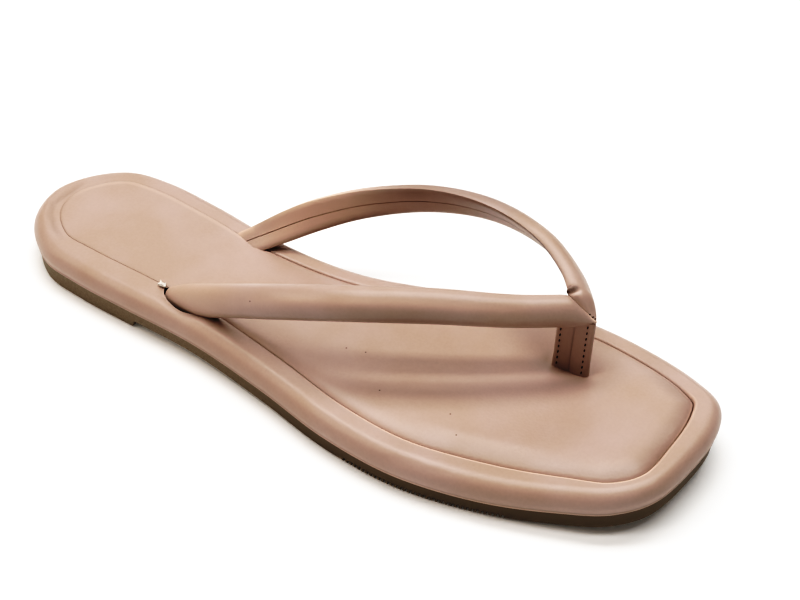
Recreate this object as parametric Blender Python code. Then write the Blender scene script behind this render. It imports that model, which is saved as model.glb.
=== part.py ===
"""Square toe flip-flop for the right foot, standing on its sole.

Moulded outsole, wrapped footbed with a rounded edge, padded sock in its recess,
a strap upper joined at a mitre, and the strip that stands between the toes.
The shoe is drawn with the heel at y = 0, the toe towards +Y and the outer side of
the foot towards +X, and is then centred over its own bounding box.
"""
import math
from collections import namedtuple

import bmesh
import bpy
from mathutils import Vector

# Sizes are in millimetres and become metres when a mesh is made.
MM = 0.001
SEAT_GAP = 0.3

# Outline of the wrapped edge: one row for each cross section, with both sides of the
# shoe and the width of the wrapped border there.
Side = namedtuple("Side", "y lateral medial lateral_border medial_border")
SIDES = (
    Side(18.0, 25.0, -25.2, 9.5, 8.4),
    Side(34.0, 28.3, -27.6, 10.3, 8.4),
    Side(56.0, 30.0, -25.6, 10.7, 8.4),
    Side(84.0, 31.6, -21.6, 10.1, 8.3),
    Side(114.0, 36.8, -22.6, 9.7, 8.2),
    Side(141.0, 43.0, -30.8, 9.5, 8.2),
    Side(167.0, 45.1, -40.0, 9.3, 8.2),
    Side(194.0, 40.7, -42.5, 9.6, 8.3),
    Side(216.0, 33.6, -38.7, 8.5, 8.4),
)
End = namedtuple("End", "x y border")
HEEL_LATERAL = End(13.0, 4.4, 9.4)
HEEL_MIDDLE = End(-1.8, 0.8, 9.4)
HEEL_MEDIAL = End(-14.8, 6.2, 8.8)
# The square toe slants: its inner corner lies further forward than its outer one.
TOE_FRONT = (
    End(27.2, 230.6, 7.0),
    End(17.5, 239.9, 6.9),
    End(0.6, 244.6, 8.4),
    End(-15.5, 245.7, 9.2),
    End(-25.7, 242.3, 8.8),
    End(-32.2, 233.0, 8.5),
)

# Heights of the sole
FOOTBED_BASE_HEEL = 6.15
FOOTBED_BASE_FOREFOOT = 4.65
BASE_DROP_START = 62.0
BASE_DROP_END = 150.0
TOE_SPRING = 5.7
TOE_SPRING_START = 185.0
TOE_SPRING_RUN = 60.0
TOE_SPRING_POWER = 1.8
HEEL_BREAST_START = 58.5
HEEL_BREAST_END = 64.5
WAIST_LIFT = 2.5
WAIST_END = 138.0

# Cross section of the wrapped edge: inset from the outline and height over the base.
# Rows with from_groove set measure their inset from the sock groove instead.
EdgeRow = namedtuple("EdgeRow", "from_groove inset height")
FOOTBED_EDGE = (
    EdgeRow(False, 1.3, 0.0),
    EdgeRow(False, 0.3, 1.8),
    EdgeRow(False, 0.0, 4.2),
    EdgeRow(False, 0.6, 6.6),
    EdgeRow(False, 1.8, 8.1),
    EdgeRow(False, 3.3, 9.1),
    EdgeRow(False, 5.2, 9.6),
    EdgeRow(True, -1.4, 9.3),
    EdgeRow(True, -0.2, 8.5),
    EdgeRow(True, 0.0, 6.6),
)
SOCK_EDGE = (
    EdgeRow(True, 0.3, 6.9),
    EdgeRow(True, 0.3, 8.2),
    EdgeRow(True, 0.9, 8.9),
    EdgeRow(True, 2.4, 9.4),
)
SOCK_CROWN = 0.35
OUTSOLE_INSET = 1.3
OUTSOLE_ROUND = 0.7

# Straps: one row for each section from the slot in the footbed to the mitre.
# Lean turns the outer face up, in degrees from standing on edge.
StrapRow = namedtuple("StrapRow", "y x z lean")
LATERAL_STRAP = (
    StrapRow(62.0, 21.0, 7.5, 0.0),
    StrapRow(76.0, 24.2, 16.5, 0.0),
    StrapRow(96.0, 26.0, 27.5, 4.0),
    StrapRow(118.0, 25.5, 37.5, 14.0),
    StrapRow(138.0, 20.0, 42.5, 18.0),
    StrapRow(159.5, 9.0, 43.3, 16.0),
    StrapRow(180.0, -4.0, 41.0, 10.0),
    StrapRow(197.0, -17.0, 39.2, 16.0),
)
MEDIAL_STRAP = (
    StrapRow(64.0, -9.5, 5.5, -24.0),
    StrapRow(80.0, -16.0, 16.8, -22.0),
    StrapRow(95.0, -24.0, 27.4, -9.0),
    StrapRow(112.0, -32.0, 35.8, 4.0),
    StrapRow(133.0, -38.6, 41.8, 20.0),
    StrapRow(154.0, -40.2, 44.6, 31.0),
    StrapRow(174.0, -35.6, 44.6, 37.0),
    StrapRow(188.5, -27.4, 41.6, 41.0),
    StrapRow(198.2, -17.0, 39.6, 46.0),
)
STRAP_WIDTH = 11.2
STRAP_THICKNESS = 5.0
STRAP_INNER_FACE = -2.0
STRAP_CROWN_POWER = 0.75
STRAP_EDGE_ROUND = 0.7
STRAP_ARC_POINTS = 9
STRAP_STATIONS = 24
MITRE_X = -17.0
MITRE_CLEAR = 7.0
STRAP_FOOT_Z = 9.4
SLOT_TOP_Z = 30.0

# Strip between the toes
POST_X = -17.0
POST_REAR = 189.2
POST_FRONT = 201.6
POST_THICKNESS = 3.0
POST_FOOT_Z = 9.4
POST_TOP_REAR = 39.5
POST_TOP_FRONT = 38.5
POST_END_POINTS = 5

# Spacing of the sole's cross sections, and fineness of the curves they are read from
SECTION_STEP = 6.0
BREAST_ROWS = 2
HEEL_STEPS = 7
TOE_STEPS = 10
KNOT_STEP = 0.01
SEARCH_HALVINGS = 40
STRAP_STEP = 0.05
STRAP_SAMPLES = 400

# Signs of the two sides of the foot
LATERAL = 1
MEDIAL = -1

# Finishes: linear colours and roughness
SHARP_ANGLE_DEG = 35.0
WRAP_COLOUR = (0.62, 0.43, 0.34)
SOCK_COLOUR = (0.63, 0.44, 0.35)
STRAP_COLOUR = (0.60, 0.41, 0.32)
RUBBER_COLOUR = (0.16, 0.10, 0.07)
LEATHER_ROUGHNESS = 0.42
RUBBER_ROUGHNESS = 0.6


def smoothstep(start, end, value):
    """Ease from 0 at start to 1 at end."""
    share = min(max((value - start) / (end - start), 0.0), 1.0)
    return share * share * (3.0 - 2.0 * share)


def toe_spring(y):
    """Lift of the sole towards the toe."""
    run = max(y - TOE_SPRING_START, 0.0) / TOE_SPRING_RUN
    return TOE_SPRING * run ** TOE_SPRING_POWER


def footbed_base(y):
    """Height of the face between outsole and footbed."""
    drop = FOOTBED_BASE_HEEL - FOOTBED_BASE_FOREFOOT
    return FOOTBED_BASE_HEEL - drop * smoothstep(BASE_DROP_START, BASE_DROP_END, y) + toe_spring(y)


def outsole_underside(y):
    """Height of the tread: flat heel, breast, arched waist, flat forefoot, toe spring."""
    if y <= HEEL_BREAST_START:
        return 0.0
    breast = smoothstep(HEEL_BREAST_START, HEEL_BREAST_END, y)
    waist = 1.0 - smoothstep(HEEL_BREAST_END, WAIST_END, y)
    return WAIST_LIFT * breast * waist + toe_spring(y)


def mix(a, b, share):
    """Straight line through a and b, also past its ends."""
    return a * (1.0 - share) + b * share


def section_places():
    """Places of the sole's cross sections, with one at each end of the heel breast."""
    breaks = (SIDES[0].y, HEEL_BREAST_START, HEEL_BREAST_END, SIDES[-1].y)
    places = [breaks[0]]
    for start, end in zip(breaks, breaks[1:]):
        rows = max(round((end - start) / SECTION_STEP), BREAST_ROWS)
        places += [mix(start, end, row / rows) for row in range(1, rows + 1)]
    return places


class Outline:
    """Closed smooth curve through the outline's sections, with its border width."""

    def __init__(self):
        loop = [HEEL_MIDDLE, HEEL_LATERAL]
        loop += [End(row.lateral, row.y, row.lateral_border) for row in SIDES]
        loop += list(TOE_FRONT)
        loop += [End(row.medial, row.y, row.medial_border) for row in reversed(SIDES)]
        loop.append(HEEL_MEDIAL)
        self.knots = [Vector(row) for row in loop]

    def at(self, u):
        """Point and border width as a vector, with u counting the knots."""
        count = len(self.knots)
        first = math.floor(u)
        a, b, c, d = (self.knots[(first + step) % count] for step in (-1, 0, 1, 2))
        tb = math.sqrt((b - a).length)
        tc = tb + math.sqrt((c - b).length)
        td = tc + math.sqrt((d - c).length)
        t = mix(tb, tc, u - first)
        ab = mix(a, b, t / tb)
        bc = mix(b, c, (t - tb) / (tc - tb))
        cd = mix(c, d, (t - tc) / (td - tc))
        abc = mix(ab, bc, t / tc)
        bcd = mix(bc, cd, (t - tb) / (td - tb))
        return mix(abc, bcd, (t - tb) / (tc - tb))

    def inset(self, u, distance):
        """Point of the outline moved inwards."""
        along = self.at(u + KNOT_STEP) - self.at(u - KNOT_STEP)
        along.z = 0.0
        along.normalize()
        here = self.at(u)
        return Vector((here.x - along.y * distance, here.y + along.x * distance))

    def find(self, y, low, high):
        """Knot count where one side reaches y, between two knots."""
        rising = self.at(high).y > self.at(low).y
        for _ in range(SEARCH_HALVINGS):
            middle = (low + high) / 2.0
            if (self.at(middle).y < y) == rising:
                low = middle
            else:
                high = middle
        return (low + high) / 2.0

    def halves(self):
        """Knot counts from heel to toe, down each side, in pairs that face each other."""
        count = len(self.knots)
        first = 2
        last = first + len(SIDES) - 1
        toe_knots = len(TOE_FRONT) + 1
        lateral = [first * step / HEEL_STEPS for step in range(HEEL_STEPS)]
        medial = [count - u for u in lateral]
        for y in section_places():
            lateral.append(self.find(y, first, last))
            medial.append(self.find(y, last + toe_knots, count - first))
        for step in range(1, TOE_STEPS + 1):
            share = toe_knots / 2.0 * step / TOE_STEPS
            lateral.append(last + share)
            medial.append(last + toe_knots - share)
        return lateral, medial


def ring_of(outline, places, height, inset=0.0, groove=None):
    """One closed ring of points at an inset from the outline or from the sock groove."""
    ring = []
    for u in places:
        distance = inset if groove is None else outline.at(u).z + groove
        flat = outline.inset(u, distance)
        ring.append(Vector((flat.x, flat.y, height(flat.y))))
    return ring


def edge_rings(outline, places, rows):
    """Rings of a sole layer's edge, from a table of insets and heights."""
    rings = []
    for row in rows:
        def height(y, lift=row.height):
            return footbed_base(y) + lift

        if row.from_groove:
            rings.append(ring_of(outline, places, height, groove=row.inset))
        else:
            rings.append(ring_of(outline, places, height, inset=row.inset))
    return rings


def add_rings(mesh, rings):
    """Skin a row of closed rings and return their vertices."""
    vertices = [[mesh.verts.new(point * MM) for point in ring] for ring in rings]
    count = len(rings[0])
    for lower, upper in zip(vertices, vertices[1:]):
        for index in range(count):
            after = (index + 1) % count
            mesh.faces.new((lower[index], lower[after], upper[after], upper[index]))
    return vertices


def add_ladder(mesh, ring, crown=0.0):
    """Close a sole ring with strips that run from one side of the shoe to the other."""
    half = len(ring) // 2
    left = ring[:half + 1]
    right = [ring[0]] + ring[:half - 1:-1]
    middle = [None] * (half + 1)
    for index in range(1, half):
        raised = (left[index].co + right[index].co) / 2.0 + Vector((0.0, 0.0, crown * MM))
        middle[index] = mesh.verts.new(raised)
    middle[0] = ring[0]
    middle[half] = ring[half]
    for side in (left, right):
        for index in range(half):
            corners = (side[index], side[index + 1], middle[index + 1], middle[index])
            mesh.faces.new(list(dict.fromkeys(corners)))


def finish_mesh(mesh):
    """Turn all faces outwards and split them into triangles."""
    bmesh.ops.recalc_face_normals(mesh, faces=mesh.faces)
    bmesh.ops.triangulate(mesh, faces=mesh.faces)


def make_object(name, mesh, material, root):
    """Object of one sub-part, smooth over its round stretches."""
    finish_mesh(mesh)
    data = bpy.data.meshes.new(name)
    mesh.to_mesh(data)
    mesh.free()
    data.shade_smooth()
    data.set_sharp_from_angle(angle=math.radians(SHARP_ANGLE_DEG))
    if material is not None:
        data.materials.append(material)
    piece = bpy.data.objects.new(name, data)
    piece.parent = root
    bpy.context.scene.collection.objects.link(piece)
    return piece


def make_cutter(name, mesh, root):
    """Object that only cuts others."""
    cutter = make_object(name, mesh, None, root)
    cutter.hide_render = True
    cutter.display_type = "WIRE"
    return cutter


def cut(piece, cutters):
    """Take the cutters out of a piece."""
    for cutter in cutters:
        boolean = piece.modifiers.new(cutter.name, "BOOLEAN")
        boolean.operation = "DIFFERENCE"
        boolean.solver = "EXACT"
        boolean.object = cutter


def make_material(name, colour, roughness):
    """Plain finish of one sub-part, with its colour in linear values."""
    material = bpy.data.materials.new(name)
    material.use_nodes = True
    shader = material.node_tree.nodes["Principled BSDF"]
    shader.inputs["Base Color"].default_value = (*colour, 1.0)
    shader.inputs["Roughness"].default_value = roughness
    shader.inputs["Metallic"].default_value = 0.0
    return material


def strap_value(rows, y, column):
    """Smooth value of one column of a strap's table at y."""
    last = len(rows) - 1
    index = 0
    while index < last - 1 and rows[index + 1].y < y:
        index += 1

    def slope(at):
        before = rows[max(at - 1, 0)]
        after = rows[min(at + 1, last)]
        return (getattr(after, column) - getattr(before, column)) / (after.y - before.y)

    start = rows[index]
    end = rows[index + 1]
    span = end.y - start.y
    share = (y - start.y) / span
    bend = share * share * (3.0 - 2.0 * share)
    lead = share * (1.0 - share) * (1.0 - share) * slope(index)
    trail = share * share * (1.0 - share) * slope(index + 1)
    return mix(getattr(start, column), getattr(end, column), bend) + span * (lead - trail)


def strap_centre(rows, y):
    """Centre of a strap at y."""
    return Vector((strap_value(rows, y, "x"), y, strap_value(rows, y, "z")))


def strap_frame(rows, y, side):
    """Centre, direction, outward face and upper edge of a strap at y."""
    along = strap_centre(rows, y + STRAP_STEP) - strap_centre(rows, y - STRAP_STEP)
    along.normalize()
    up = Vector((0.0, 0.0, 1.0))
    level = along.cross(up) * side
    level.normalize()
    rise = up - along * along.z
    rise.normalize()
    lean = math.radians(strap_value(rows, y, "lean"))
    outward = level * math.cos(lean) + rise * math.sin(lean)
    upper = rise * math.cos(lean) - level * math.sin(lean)
    return strap_centre(rows, y), along, outward, upper


def strap_section(grow):
    """Closed half-round section of a strap as pairs of upward and outward places."""
    half = STRAP_WIDTH / 2.0 + grow
    inner = STRAP_INNER_FACE - grow
    depth = STRAP_THICKNESS + 2.0 * grow
    section = []
    for step in range(STRAP_ARC_POINTS):
        turn = math.pi * (step + 0.5) / STRAP_ARC_POINTS
        section.append((half * math.cos(turn), inner + depth * math.sin(turn) ** STRAP_CROWN_POWER))
    flat = half - STRAP_EDGE_ROUND
    section += [(-flat, inner), (0.0, inner), (flat, inner)]
    return section


def strap_stations(rows):
    """Evenly spaced places along a strap, from its slot to just short of the mitre."""
    ys = [mix(rows[0].y, rows[-1].y, step / STRAP_SAMPLES) for step in range(STRAP_SAMPLES + 1)]
    points = [strap_centre(rows, y) for y in ys]
    travel = [0.0]
    for before, after in zip(points, points[1:]):
        travel.append(travel[-1] + (after - before).length)
    reach = travel[-1] - MITRE_CLEAR
    places = []
    for station in range(STRAP_STATIONS):
        wanted = reach * station / (STRAP_STATIONS - 1)
        index = min(range(len(ys)), key=lambda at: abs(travel[at] - wanted))
        places.append(ys[index])
    return places


def slide(point, along, axis, level):
    """Point moved along a strap onto a plane across one axis."""
    return point + along * ((level - point[axis]) / along[axis])


def strap_rings(rows, side, grow, foot_z):
    """Sections of one strap, from its foot in the slot to its end on the mitre plane."""
    section = strap_section(grow)
    rings = []
    for y in strap_stations(rows):
        centre, along, outward, upper = strap_frame(rows, y, side)
        ring = [centre + upper * w + outward * n for w, n in section]
        if min(point.z for point in ring) > foot_z:
            rings.append(ring)
    foot_y = next(y for y in strap_stations(rows) if strap_centre(rows, y).z > foot_z)
    centre, along, outward, upper = strap_frame(rows, foot_y, side)
    foot = [slide(centre + upper * w + outward * n, along, 2, foot_z) for w, n in section]
    centre, along, outward, upper = strap_frame(rows, rows[-1].y, side)
    end = [slide(centre + upper * w + outward * n, along, 0, MITRE_X) for w, n in section]
    return [foot] + rings + [end]


def build_upper(grow, foot_z):
    """Both straps as one tube that turns at the mitre."""
    mesh = bmesh.new()
    lateral = strap_rings(LATERAL_STRAP, LATERAL, grow, foot_z)
    medial = strap_rings(MEDIAL_STRAP, MEDIAL, grow, foot_z)
    mitre = [mix(a, b, 0.5) for a, b in zip(lateral[-1], medial[-1])]
    rings = lateral[:-1] + [mitre] + medial[-2::-1]
    vertices = add_rings(mesh, rings)
    mesh.faces.new(vertices[0])
    mesh.faces.new(vertices[-1])
    return mesh


def build_slot(rows, side):
    """Space that one strap takes in the footbed, a little larger than the strap."""
    mesh = bmesh.new()
    rings = strap_rings(rows, side, SEAT_GAP, STRAP_FOOT_Z - SEAT_GAP)
    low = [ring for ring in rings[:-1] if min(point.z for point in ring) < SLOT_TOP_Z]
    vertices = add_rings(mesh, low)
    mesh.faces.new(vertices[0])
    mesh.faces.new(vertices[-1])
    return mesh


def build_post(grow, foot_z, top_rear, top_front):
    """Flat strip with round front and rear edges, standing between the toes."""
    mesh = bmesh.new()
    radius = POST_THICKNESS / 2.0 + grow
    outline = []
    for centre, start in ((POST_FRONT - radius + grow, 0.0), (POST_REAR + radius - grow, math.pi)):
        for step in range(POST_END_POINTS):
            turn = start + math.pi * step / (POST_END_POINTS - 1)
            outline.append((POST_X + radius * math.cos(turn), centre + radius * math.sin(turn)))
    rings = []
    for share in (0.0, 1.0):
        ring = []
        for x, y in outline:
            forward = (y - POST_REAR) / (POST_FRONT - POST_REAR)
            top = mix(top_rear, top_front, forward)
            ring.append(Vector((x, y, mix(foot_z, top, share))))
        rings.append(ring)
    vertices = add_rings(mesh, rings)
    mesh.faces.new(vertices[0])
    mesh.faces.new(vertices[-1])
    return mesh


def build_outsole(outline, places):
    """Thin moulded sole with its low heel, arch and toe spring."""
    mesh = bmesh.new()
    rings = [
        ring_of(outline, places, outsole_underside, inset=OUTSOLE_INSET + OUTSOLE_ROUND),
        ring_of(outline, places, lambda y: outsole_underside(y) + OUTSOLE_ROUND, inset=OUTSOLE_INSET),
        ring_of(outline, places, lambda y: footbed_base(y) - SEAT_GAP, inset=OUTSOLE_INSET),
    ]
    vertices = add_rings(mesh, rings)
    add_ladder(mesh, vertices[0])
    add_ladder(mesh, vertices[-1])
    return mesh


def build_footbed(outline, places):
    """Wrapped footbed with its rounded edge and the recess for the sock."""
    mesh = bmesh.new()
    vertices = add_rings(mesh, edge_rings(outline, places, FOOTBED_EDGE))
    add_ladder(mesh, vertices[0])
    add_ladder(mesh, vertices[-1])
    return mesh


def build_sock(outline, places):
    """Padded sock, rounded at its edge and a little crowned."""
    mesh = bmesh.new()
    vertices = add_rings(mesh, edge_rings(outline, places, SOCK_EDGE))
    add_ladder(mesh, vertices[0])
    add_ladder(mesh, vertices[-1], crown=SOCK_CROWN)
    return mesh


def centre_over_box(root, pieces):
    """Move the whole shoe so that the origin lies under the middle of its box."""
    points = [vertex.co for piece in pieces for vertex in piece.data.vertices]
    xs = [point.x for point in points]
    ys = [point.y for point in points]
    root.location = (-(min(xs) + max(xs)) / 2.0, -(min(ys) + max(ys)) / 2.0, 0.0)


def main():
    for old in list(bpy.data.objects):
        bpy.data.objects.remove(old, do_unlink=True)
    root = bpy.data.objects.new("flip_flop_root", None)
    bpy.context.scene.collection.objects.link(root)

    wrap = make_material("nude_faux_leather_wrap", WRAP_COLOUR, LEATHER_ROUGHNESS)
    lining = make_material("nude_faux_leather_sock", SOCK_COLOUR, LEATHER_ROUGHNESS)
    strap = make_material("nude_faux_leather_strap", STRAP_COLOUR, LEATHER_ROUGHNESS)
    rubber = make_material("brown_moulded_rubber", RUBBER_COLOUR, RUBBER_ROUGHNESS)

    outline = Outline()
    lateral, medial = outline.halves()
    places = lateral + medial[-2:0:-1]

    outsole = make_object("outsole", build_outsole(outline, places), rubber, root)
    footbed = make_object("midsole", build_footbed(outline, places), wrap, root)
    sock = make_object("insole", build_sock(outline, places), lining, root)
    upper = make_object("upper", build_upper(0.0, STRAP_FOOT_Z), strap, root)
    post_mesh = build_post(0.0, POST_FOOT_Z, POST_TOP_REAR, POST_TOP_FRONT)
    post = make_object("toe_post", post_mesh, strap, root)

    slots = [
        make_cutter("lateral_slot", build_slot(LATERAL_STRAP, LATERAL), root),
        make_cutter("medial_slot", build_slot(MEDIAL_STRAP, MEDIAL), root),
    ]
    post_slot_mesh = build_post(SEAT_GAP, POST_FOOT_Z - SEAT_GAP, SLOT_TOP_Z, SLOT_TOP_Z)
    slots.append(make_cutter("post_slot", post_slot_mesh, root))
    clearance = make_cutter("mitre_clearance", build_upper(SEAT_GAP, STRAP_FOOT_Z), root)
    cut(footbed, slots)
    cut(sock, slots)
    cut(post, [clearance])
    centre_over_box(root, (outsole, footbed, sock, upper, post))


main()
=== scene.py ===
"""Square toe flip-flop for the right foot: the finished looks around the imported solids.

The shoe is drawn in millimetres with the heel at y = 0, the toe towards +Y and the outer
side of the foot towards +X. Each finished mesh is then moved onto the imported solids.
"""
from __future__ import annotations

import logging
import math
from dataclasses import dataclass, field
from enum import Enum
from typing import Any, Callable, NamedTuple, Sequence

import bmesh
import bpy
from mathutils import Matrix, Vector, kdtree, noise

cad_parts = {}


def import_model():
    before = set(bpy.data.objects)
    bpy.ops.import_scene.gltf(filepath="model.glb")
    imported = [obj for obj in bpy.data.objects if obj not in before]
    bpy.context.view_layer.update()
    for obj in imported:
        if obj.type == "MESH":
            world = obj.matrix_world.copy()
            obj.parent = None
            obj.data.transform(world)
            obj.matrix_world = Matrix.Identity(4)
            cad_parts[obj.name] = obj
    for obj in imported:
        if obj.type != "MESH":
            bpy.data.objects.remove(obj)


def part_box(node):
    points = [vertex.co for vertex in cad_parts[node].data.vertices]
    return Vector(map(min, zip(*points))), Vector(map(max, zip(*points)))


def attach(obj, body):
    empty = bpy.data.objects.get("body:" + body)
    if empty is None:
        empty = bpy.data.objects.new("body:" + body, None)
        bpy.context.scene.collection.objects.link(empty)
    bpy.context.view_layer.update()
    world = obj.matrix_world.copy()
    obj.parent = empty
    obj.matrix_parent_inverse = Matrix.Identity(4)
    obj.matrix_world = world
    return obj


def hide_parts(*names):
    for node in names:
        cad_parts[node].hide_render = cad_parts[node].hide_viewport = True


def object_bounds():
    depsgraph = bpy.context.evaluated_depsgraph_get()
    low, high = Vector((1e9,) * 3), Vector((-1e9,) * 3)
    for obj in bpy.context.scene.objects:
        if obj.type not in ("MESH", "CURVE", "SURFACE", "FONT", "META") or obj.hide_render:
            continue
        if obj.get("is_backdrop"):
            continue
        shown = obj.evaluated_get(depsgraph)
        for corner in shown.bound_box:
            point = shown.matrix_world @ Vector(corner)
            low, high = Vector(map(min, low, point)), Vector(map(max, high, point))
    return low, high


LOG = logging.getLogger("flip_flop")
MM = 0.001
BODY = "root"
# SHADE holds painted shade; PALE painted highlights and light, pale cut edges and tones.
SHADE = "shade"
PALE = "pale"
# Edges that turn more than this many degrees stay sharp.
CRISP_DEG = 30.0
SHARP_DEG = 40.0
SOFT_DEG = 50.0
# Share of a crease's line, at either end, over which it fades out.
CREASE_FADE = (-0.15, 0.25)
# Least squared length and least length, so that nothing is divided by zero.
LEAST_SQUARE = 1e-9
LEAST_LENGTH = 1e-6
# Points nearer than this, in millimetres, are welded.
WELD = 1e-3
# Small step along the sole's outline, in knots, and how often a search halves its span.
KNOT_STEP = 0.01
HALVINGS = 30
# Small step along a strap, in millimetres.
STRAP_STEP = 0.05
# Strips across the sole, from its edge at 0 to its middle line at 1: few, or fine ones.
PLAIN_SHARES = (0.5, 1.0)
CROSS_STEPS = 26
CROSS_POWER = 1.25
CROSS_SHARES = tuple((step / CROSS_STEPS) ** CROSS_POWER for step in range(1, CROSS_STEPS + 1))


class FootSide(Enum):
    """Side of the right foot, with the sign of its X direction."""

    LATERAL = 1
    MEDIAL = -1


class SideRow(NamedTuple):
    """One cross section of the sole's outline, with the wrapped border's width."""

    y: float
    lateral: float
    medial: float
    lateral_border: float
    medial_border: float


class EndRow(NamedTuple):
    """One point of the outline at the heel or the toe, with the border's width."""

    x: float
    y: float
    border: float


class RowRun(NamedTuple):
    """Evenly spaced cross sections: the first one, their spacing and how many."""

    start: float
    step: float
    count: int

    def places(self) -> list[float]:
        """Places of the cross sections along the shoe."""
        return [self.start + self.step * at for at in range(self.count)]


class WallRow(NamedTuple):
    """One ring of the outsole's wall: inset, share of the height, rise and teeth."""

    inset: float
    share: float
    rise: float
    toothed: bool


class EdgeRow(NamedTuple):
    """One point of a layer's edge: inset from the outline, or from the sock groove."""

    from_groove: bool
    inset: float
    height: float


class StrapRow(NamedTuple):
    """One section of a strap, with its lean from standing on edge in degrees."""

    y: float
    x: float
    z: float
    lean: float


class StrapFrame(NamedTuple):
    """Centre of a strap's section, with its direction, outward face and upper edge."""

    centre: Vector
    along: Vector
    outward: Vector
    upper: Vector


class Mark(NamedTuple):
    """One section of a strap: its distance from the mitre and its points."""

    left: float
    ring: list[Vector]


class Station(NamedTuple):
    """One place on the outline: the point, the way inwards and the border's width."""

    point: Vector
    inward: Vector
    border: float


class Crease(NamedTuple):
    """Soft trough along a line on a surface; a negative depth makes a ridge."""

    line: tuple[tuple[float, ...], ...]
    width: float
    depth: float

    def depth_at(self, point: Vector) -> float:
        """Depth at a point; the trough fades out towards the ends of its line.

        Args:
            point: Place on the surface, in the line's own coordinates.

        Returns:
            How far the surface sinks there.
        """
        spots = [Vector(spot) for spot in self.line]
        total = sum((b - a).length for a, b in zip(spots, spots[1:]))
        nearest, place, before = math.inf, 0.0, 0.0
        for a, b in zip(spots, spots[1:]):
            gap = from_span(point, a, b)
            if gap < nearest:
                along = (point - a).dot(b - a) / (b - a).length
                nearest, place = gap, before + min(max(along, 0.0), (b - a).length)
            before += (b - a).length
        share = place / total
        fade = smoothstep(*CREASE_FADE, share) * smoothstep(*CREASE_FADE, 1.0 - share)
        return self.depth * fade * bell(nearest, self.width)


class Tuck(NamedTuple):
    """Fold pressed into a strap; its line counts distances from the mitre and section points."""

    line: tuple[tuple[float, int], ...]
    width: float
    depth: float


def from_span(point: Vector, start: Vector, end: Vector) -> float:
    """Distance of a point from the straight span between two others.

    Args:
        point: The point.
        start: First end of the span.
        end: Last end of the span.

    Returns:
        The distance.
    """
    way = end - start
    along = (point - start).dot(way) / max(way.length_squared, LEAST_SQUARE)
    return (point - start - way * min(max(along, 0.0), 1.0)).length


def mix(a: Any, b: Any, share: float) -> Any:
    """Straight line through a and b, also past its ends."""
    return a * (1.0 - share) + b * share


def bell(distance: float, width: float) -> float:
    """Bell curve that is 1 at no distance and fades over a width."""
    return math.exp(-((distance / width) ** 2))


def smoothstep(start: float, end: float, value: float) -> float:
    """Ease from 0 at start to 1 at end."""
    share = min(max((value - start) / (end - start), 0.0), 1.0)
    return share * share * (3.0 - 2.0 * share)


def band(value: float, rise: tuple[float, float], fall: tuple[float, float]) -> float:
    """Ease from 0 to 1 over the first span and back to 0 over the second."""
    return smoothstep(*rise, value) * (1.0 - smoothstep(*fall, value))


def spline(a: Any, b: Any, c: Any, d: Any, share: float) -> Any:
    """Centripetal curve from b to c, with a and d as its neighbours.

    Args:
        a: Knot before the span.
        b: First knot of the span.
        c: Last knot of the span.
        d: Knot after the span.
        share: Place in the span, from 0 to 1.

    Returns:
        The point on the curve.
    """
    tb = math.sqrt(max((b - a).length, LEAST_LENGTH))
    tc = tb + math.sqrt(max((c - b).length, LEAST_LENGTH))
    td = tc + math.sqrt(max((d - c).length, LEAST_LENGTH))
    t = mix(tb, tc, share)
    ab = mix(a, b, t / tb)
    bc = mix(b, c, (t - tb) / (tc - tb))
    cd = mix(c, d, (t - tc) / (td - tc))
    abc = mix(ab, bc, t / tc)
    bcd = mix(bc, cd, (t - tb) / (td - tb))
    return mix(abc, bcd, (t - tb) / (tc - tb))


def smooth_path(knots: Sequence[Vector], per_span: int) -> list[Vector]:
    """Open smooth curve through a row of knots.

    Args:
        knots: Points that the curve passes.
        per_span: Points made for each pair of knots.

    Returns:
        Points along the curve, both ends included.
    """
    ends = [knots[0] * 2.0 - knots[1], *knots, knots[-1] * 2.0 - knots[-2]]
    path = []
    for first in range(len(knots) - 1):
        a, b, c, d = ends[first:first + 4]
        path += [spline(a, b, c, d, step / per_span) for step in range(per_span)]
    path.append(knots[-1].copy())
    return path


def linear(code: str) -> tuple[float, float, float, float]:
    """Linear colour of an sRGB hex code.

    Args:
        code: The code, with its number sign.

    Returns:
        Red, green, blue and a full alpha.
    """
    parts = [int(code[at:at + 2], 16) / 255.0 for at in (1, 3, 5)]
    lit = [c / 12.92 if c <= 0.04045 else ((c + 0.055) / 1.055) ** 2.4 for c in parts]
    return (*lit, 1.0)


def per_metre(size_mm: float) -> float:
    """Scale of a pattern whose repeats are so many millimetres wide."""
    return 1.0 / (size_mm * MM)


def set_inputs(tree: bpy.types.NodeTree, node: bpy.types.Node,
               inputs: dict[str | int, Any]) -> None:
    """Give a node's inputs their values and links.

    Args:
        tree: Node tree of the node.
        node: The node.
        inputs: Values, or sockets to link, by the input's name or number.
    """
    for key, value in inputs.items():
        if isinstance(value, bpy.types.NodeSocket):
            tree.links.new(value, node.inputs[key])
        else:
            node.inputs[key].default_value = value


def add_node(
    tree: bpy.types.NodeTree,
    kind: str,
    inputs: dict[str | int, Any] | None = None,
    **settings: Any,
) -> bpy.types.Node:
    """Add one node with its settings, values and links.

    Args:
        tree: Node tree that gets the node.
        kind: Blender's name of the node type.
        inputs: Values, or sockets to link, by the input's name or number.
        settings: Properties of the node.

    Returns:
        The new node.
    """
    node = tree.nodes.new(kind)
    for name, value in settings.items():
        setattr(node, name, value)
    set_inputs(tree, node, inputs or {})
    return node


def own_place(tree: bpy.types.NodeTree) -> bpy.types.NodeSocket:
    """Place of a point in its own piece, in metres."""
    return add_node(tree, "ShaderNodeTexCoord").outputs["Object"]


def painted(tree: bpy.types.NodeTree, name: str) -> bpy.types.NodeSocket:
    """Value that the piece's points were painted with."""
    return add_node(tree, "ShaderNodeAttribute", attribute_name=name).outputs["Fac"]


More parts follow.
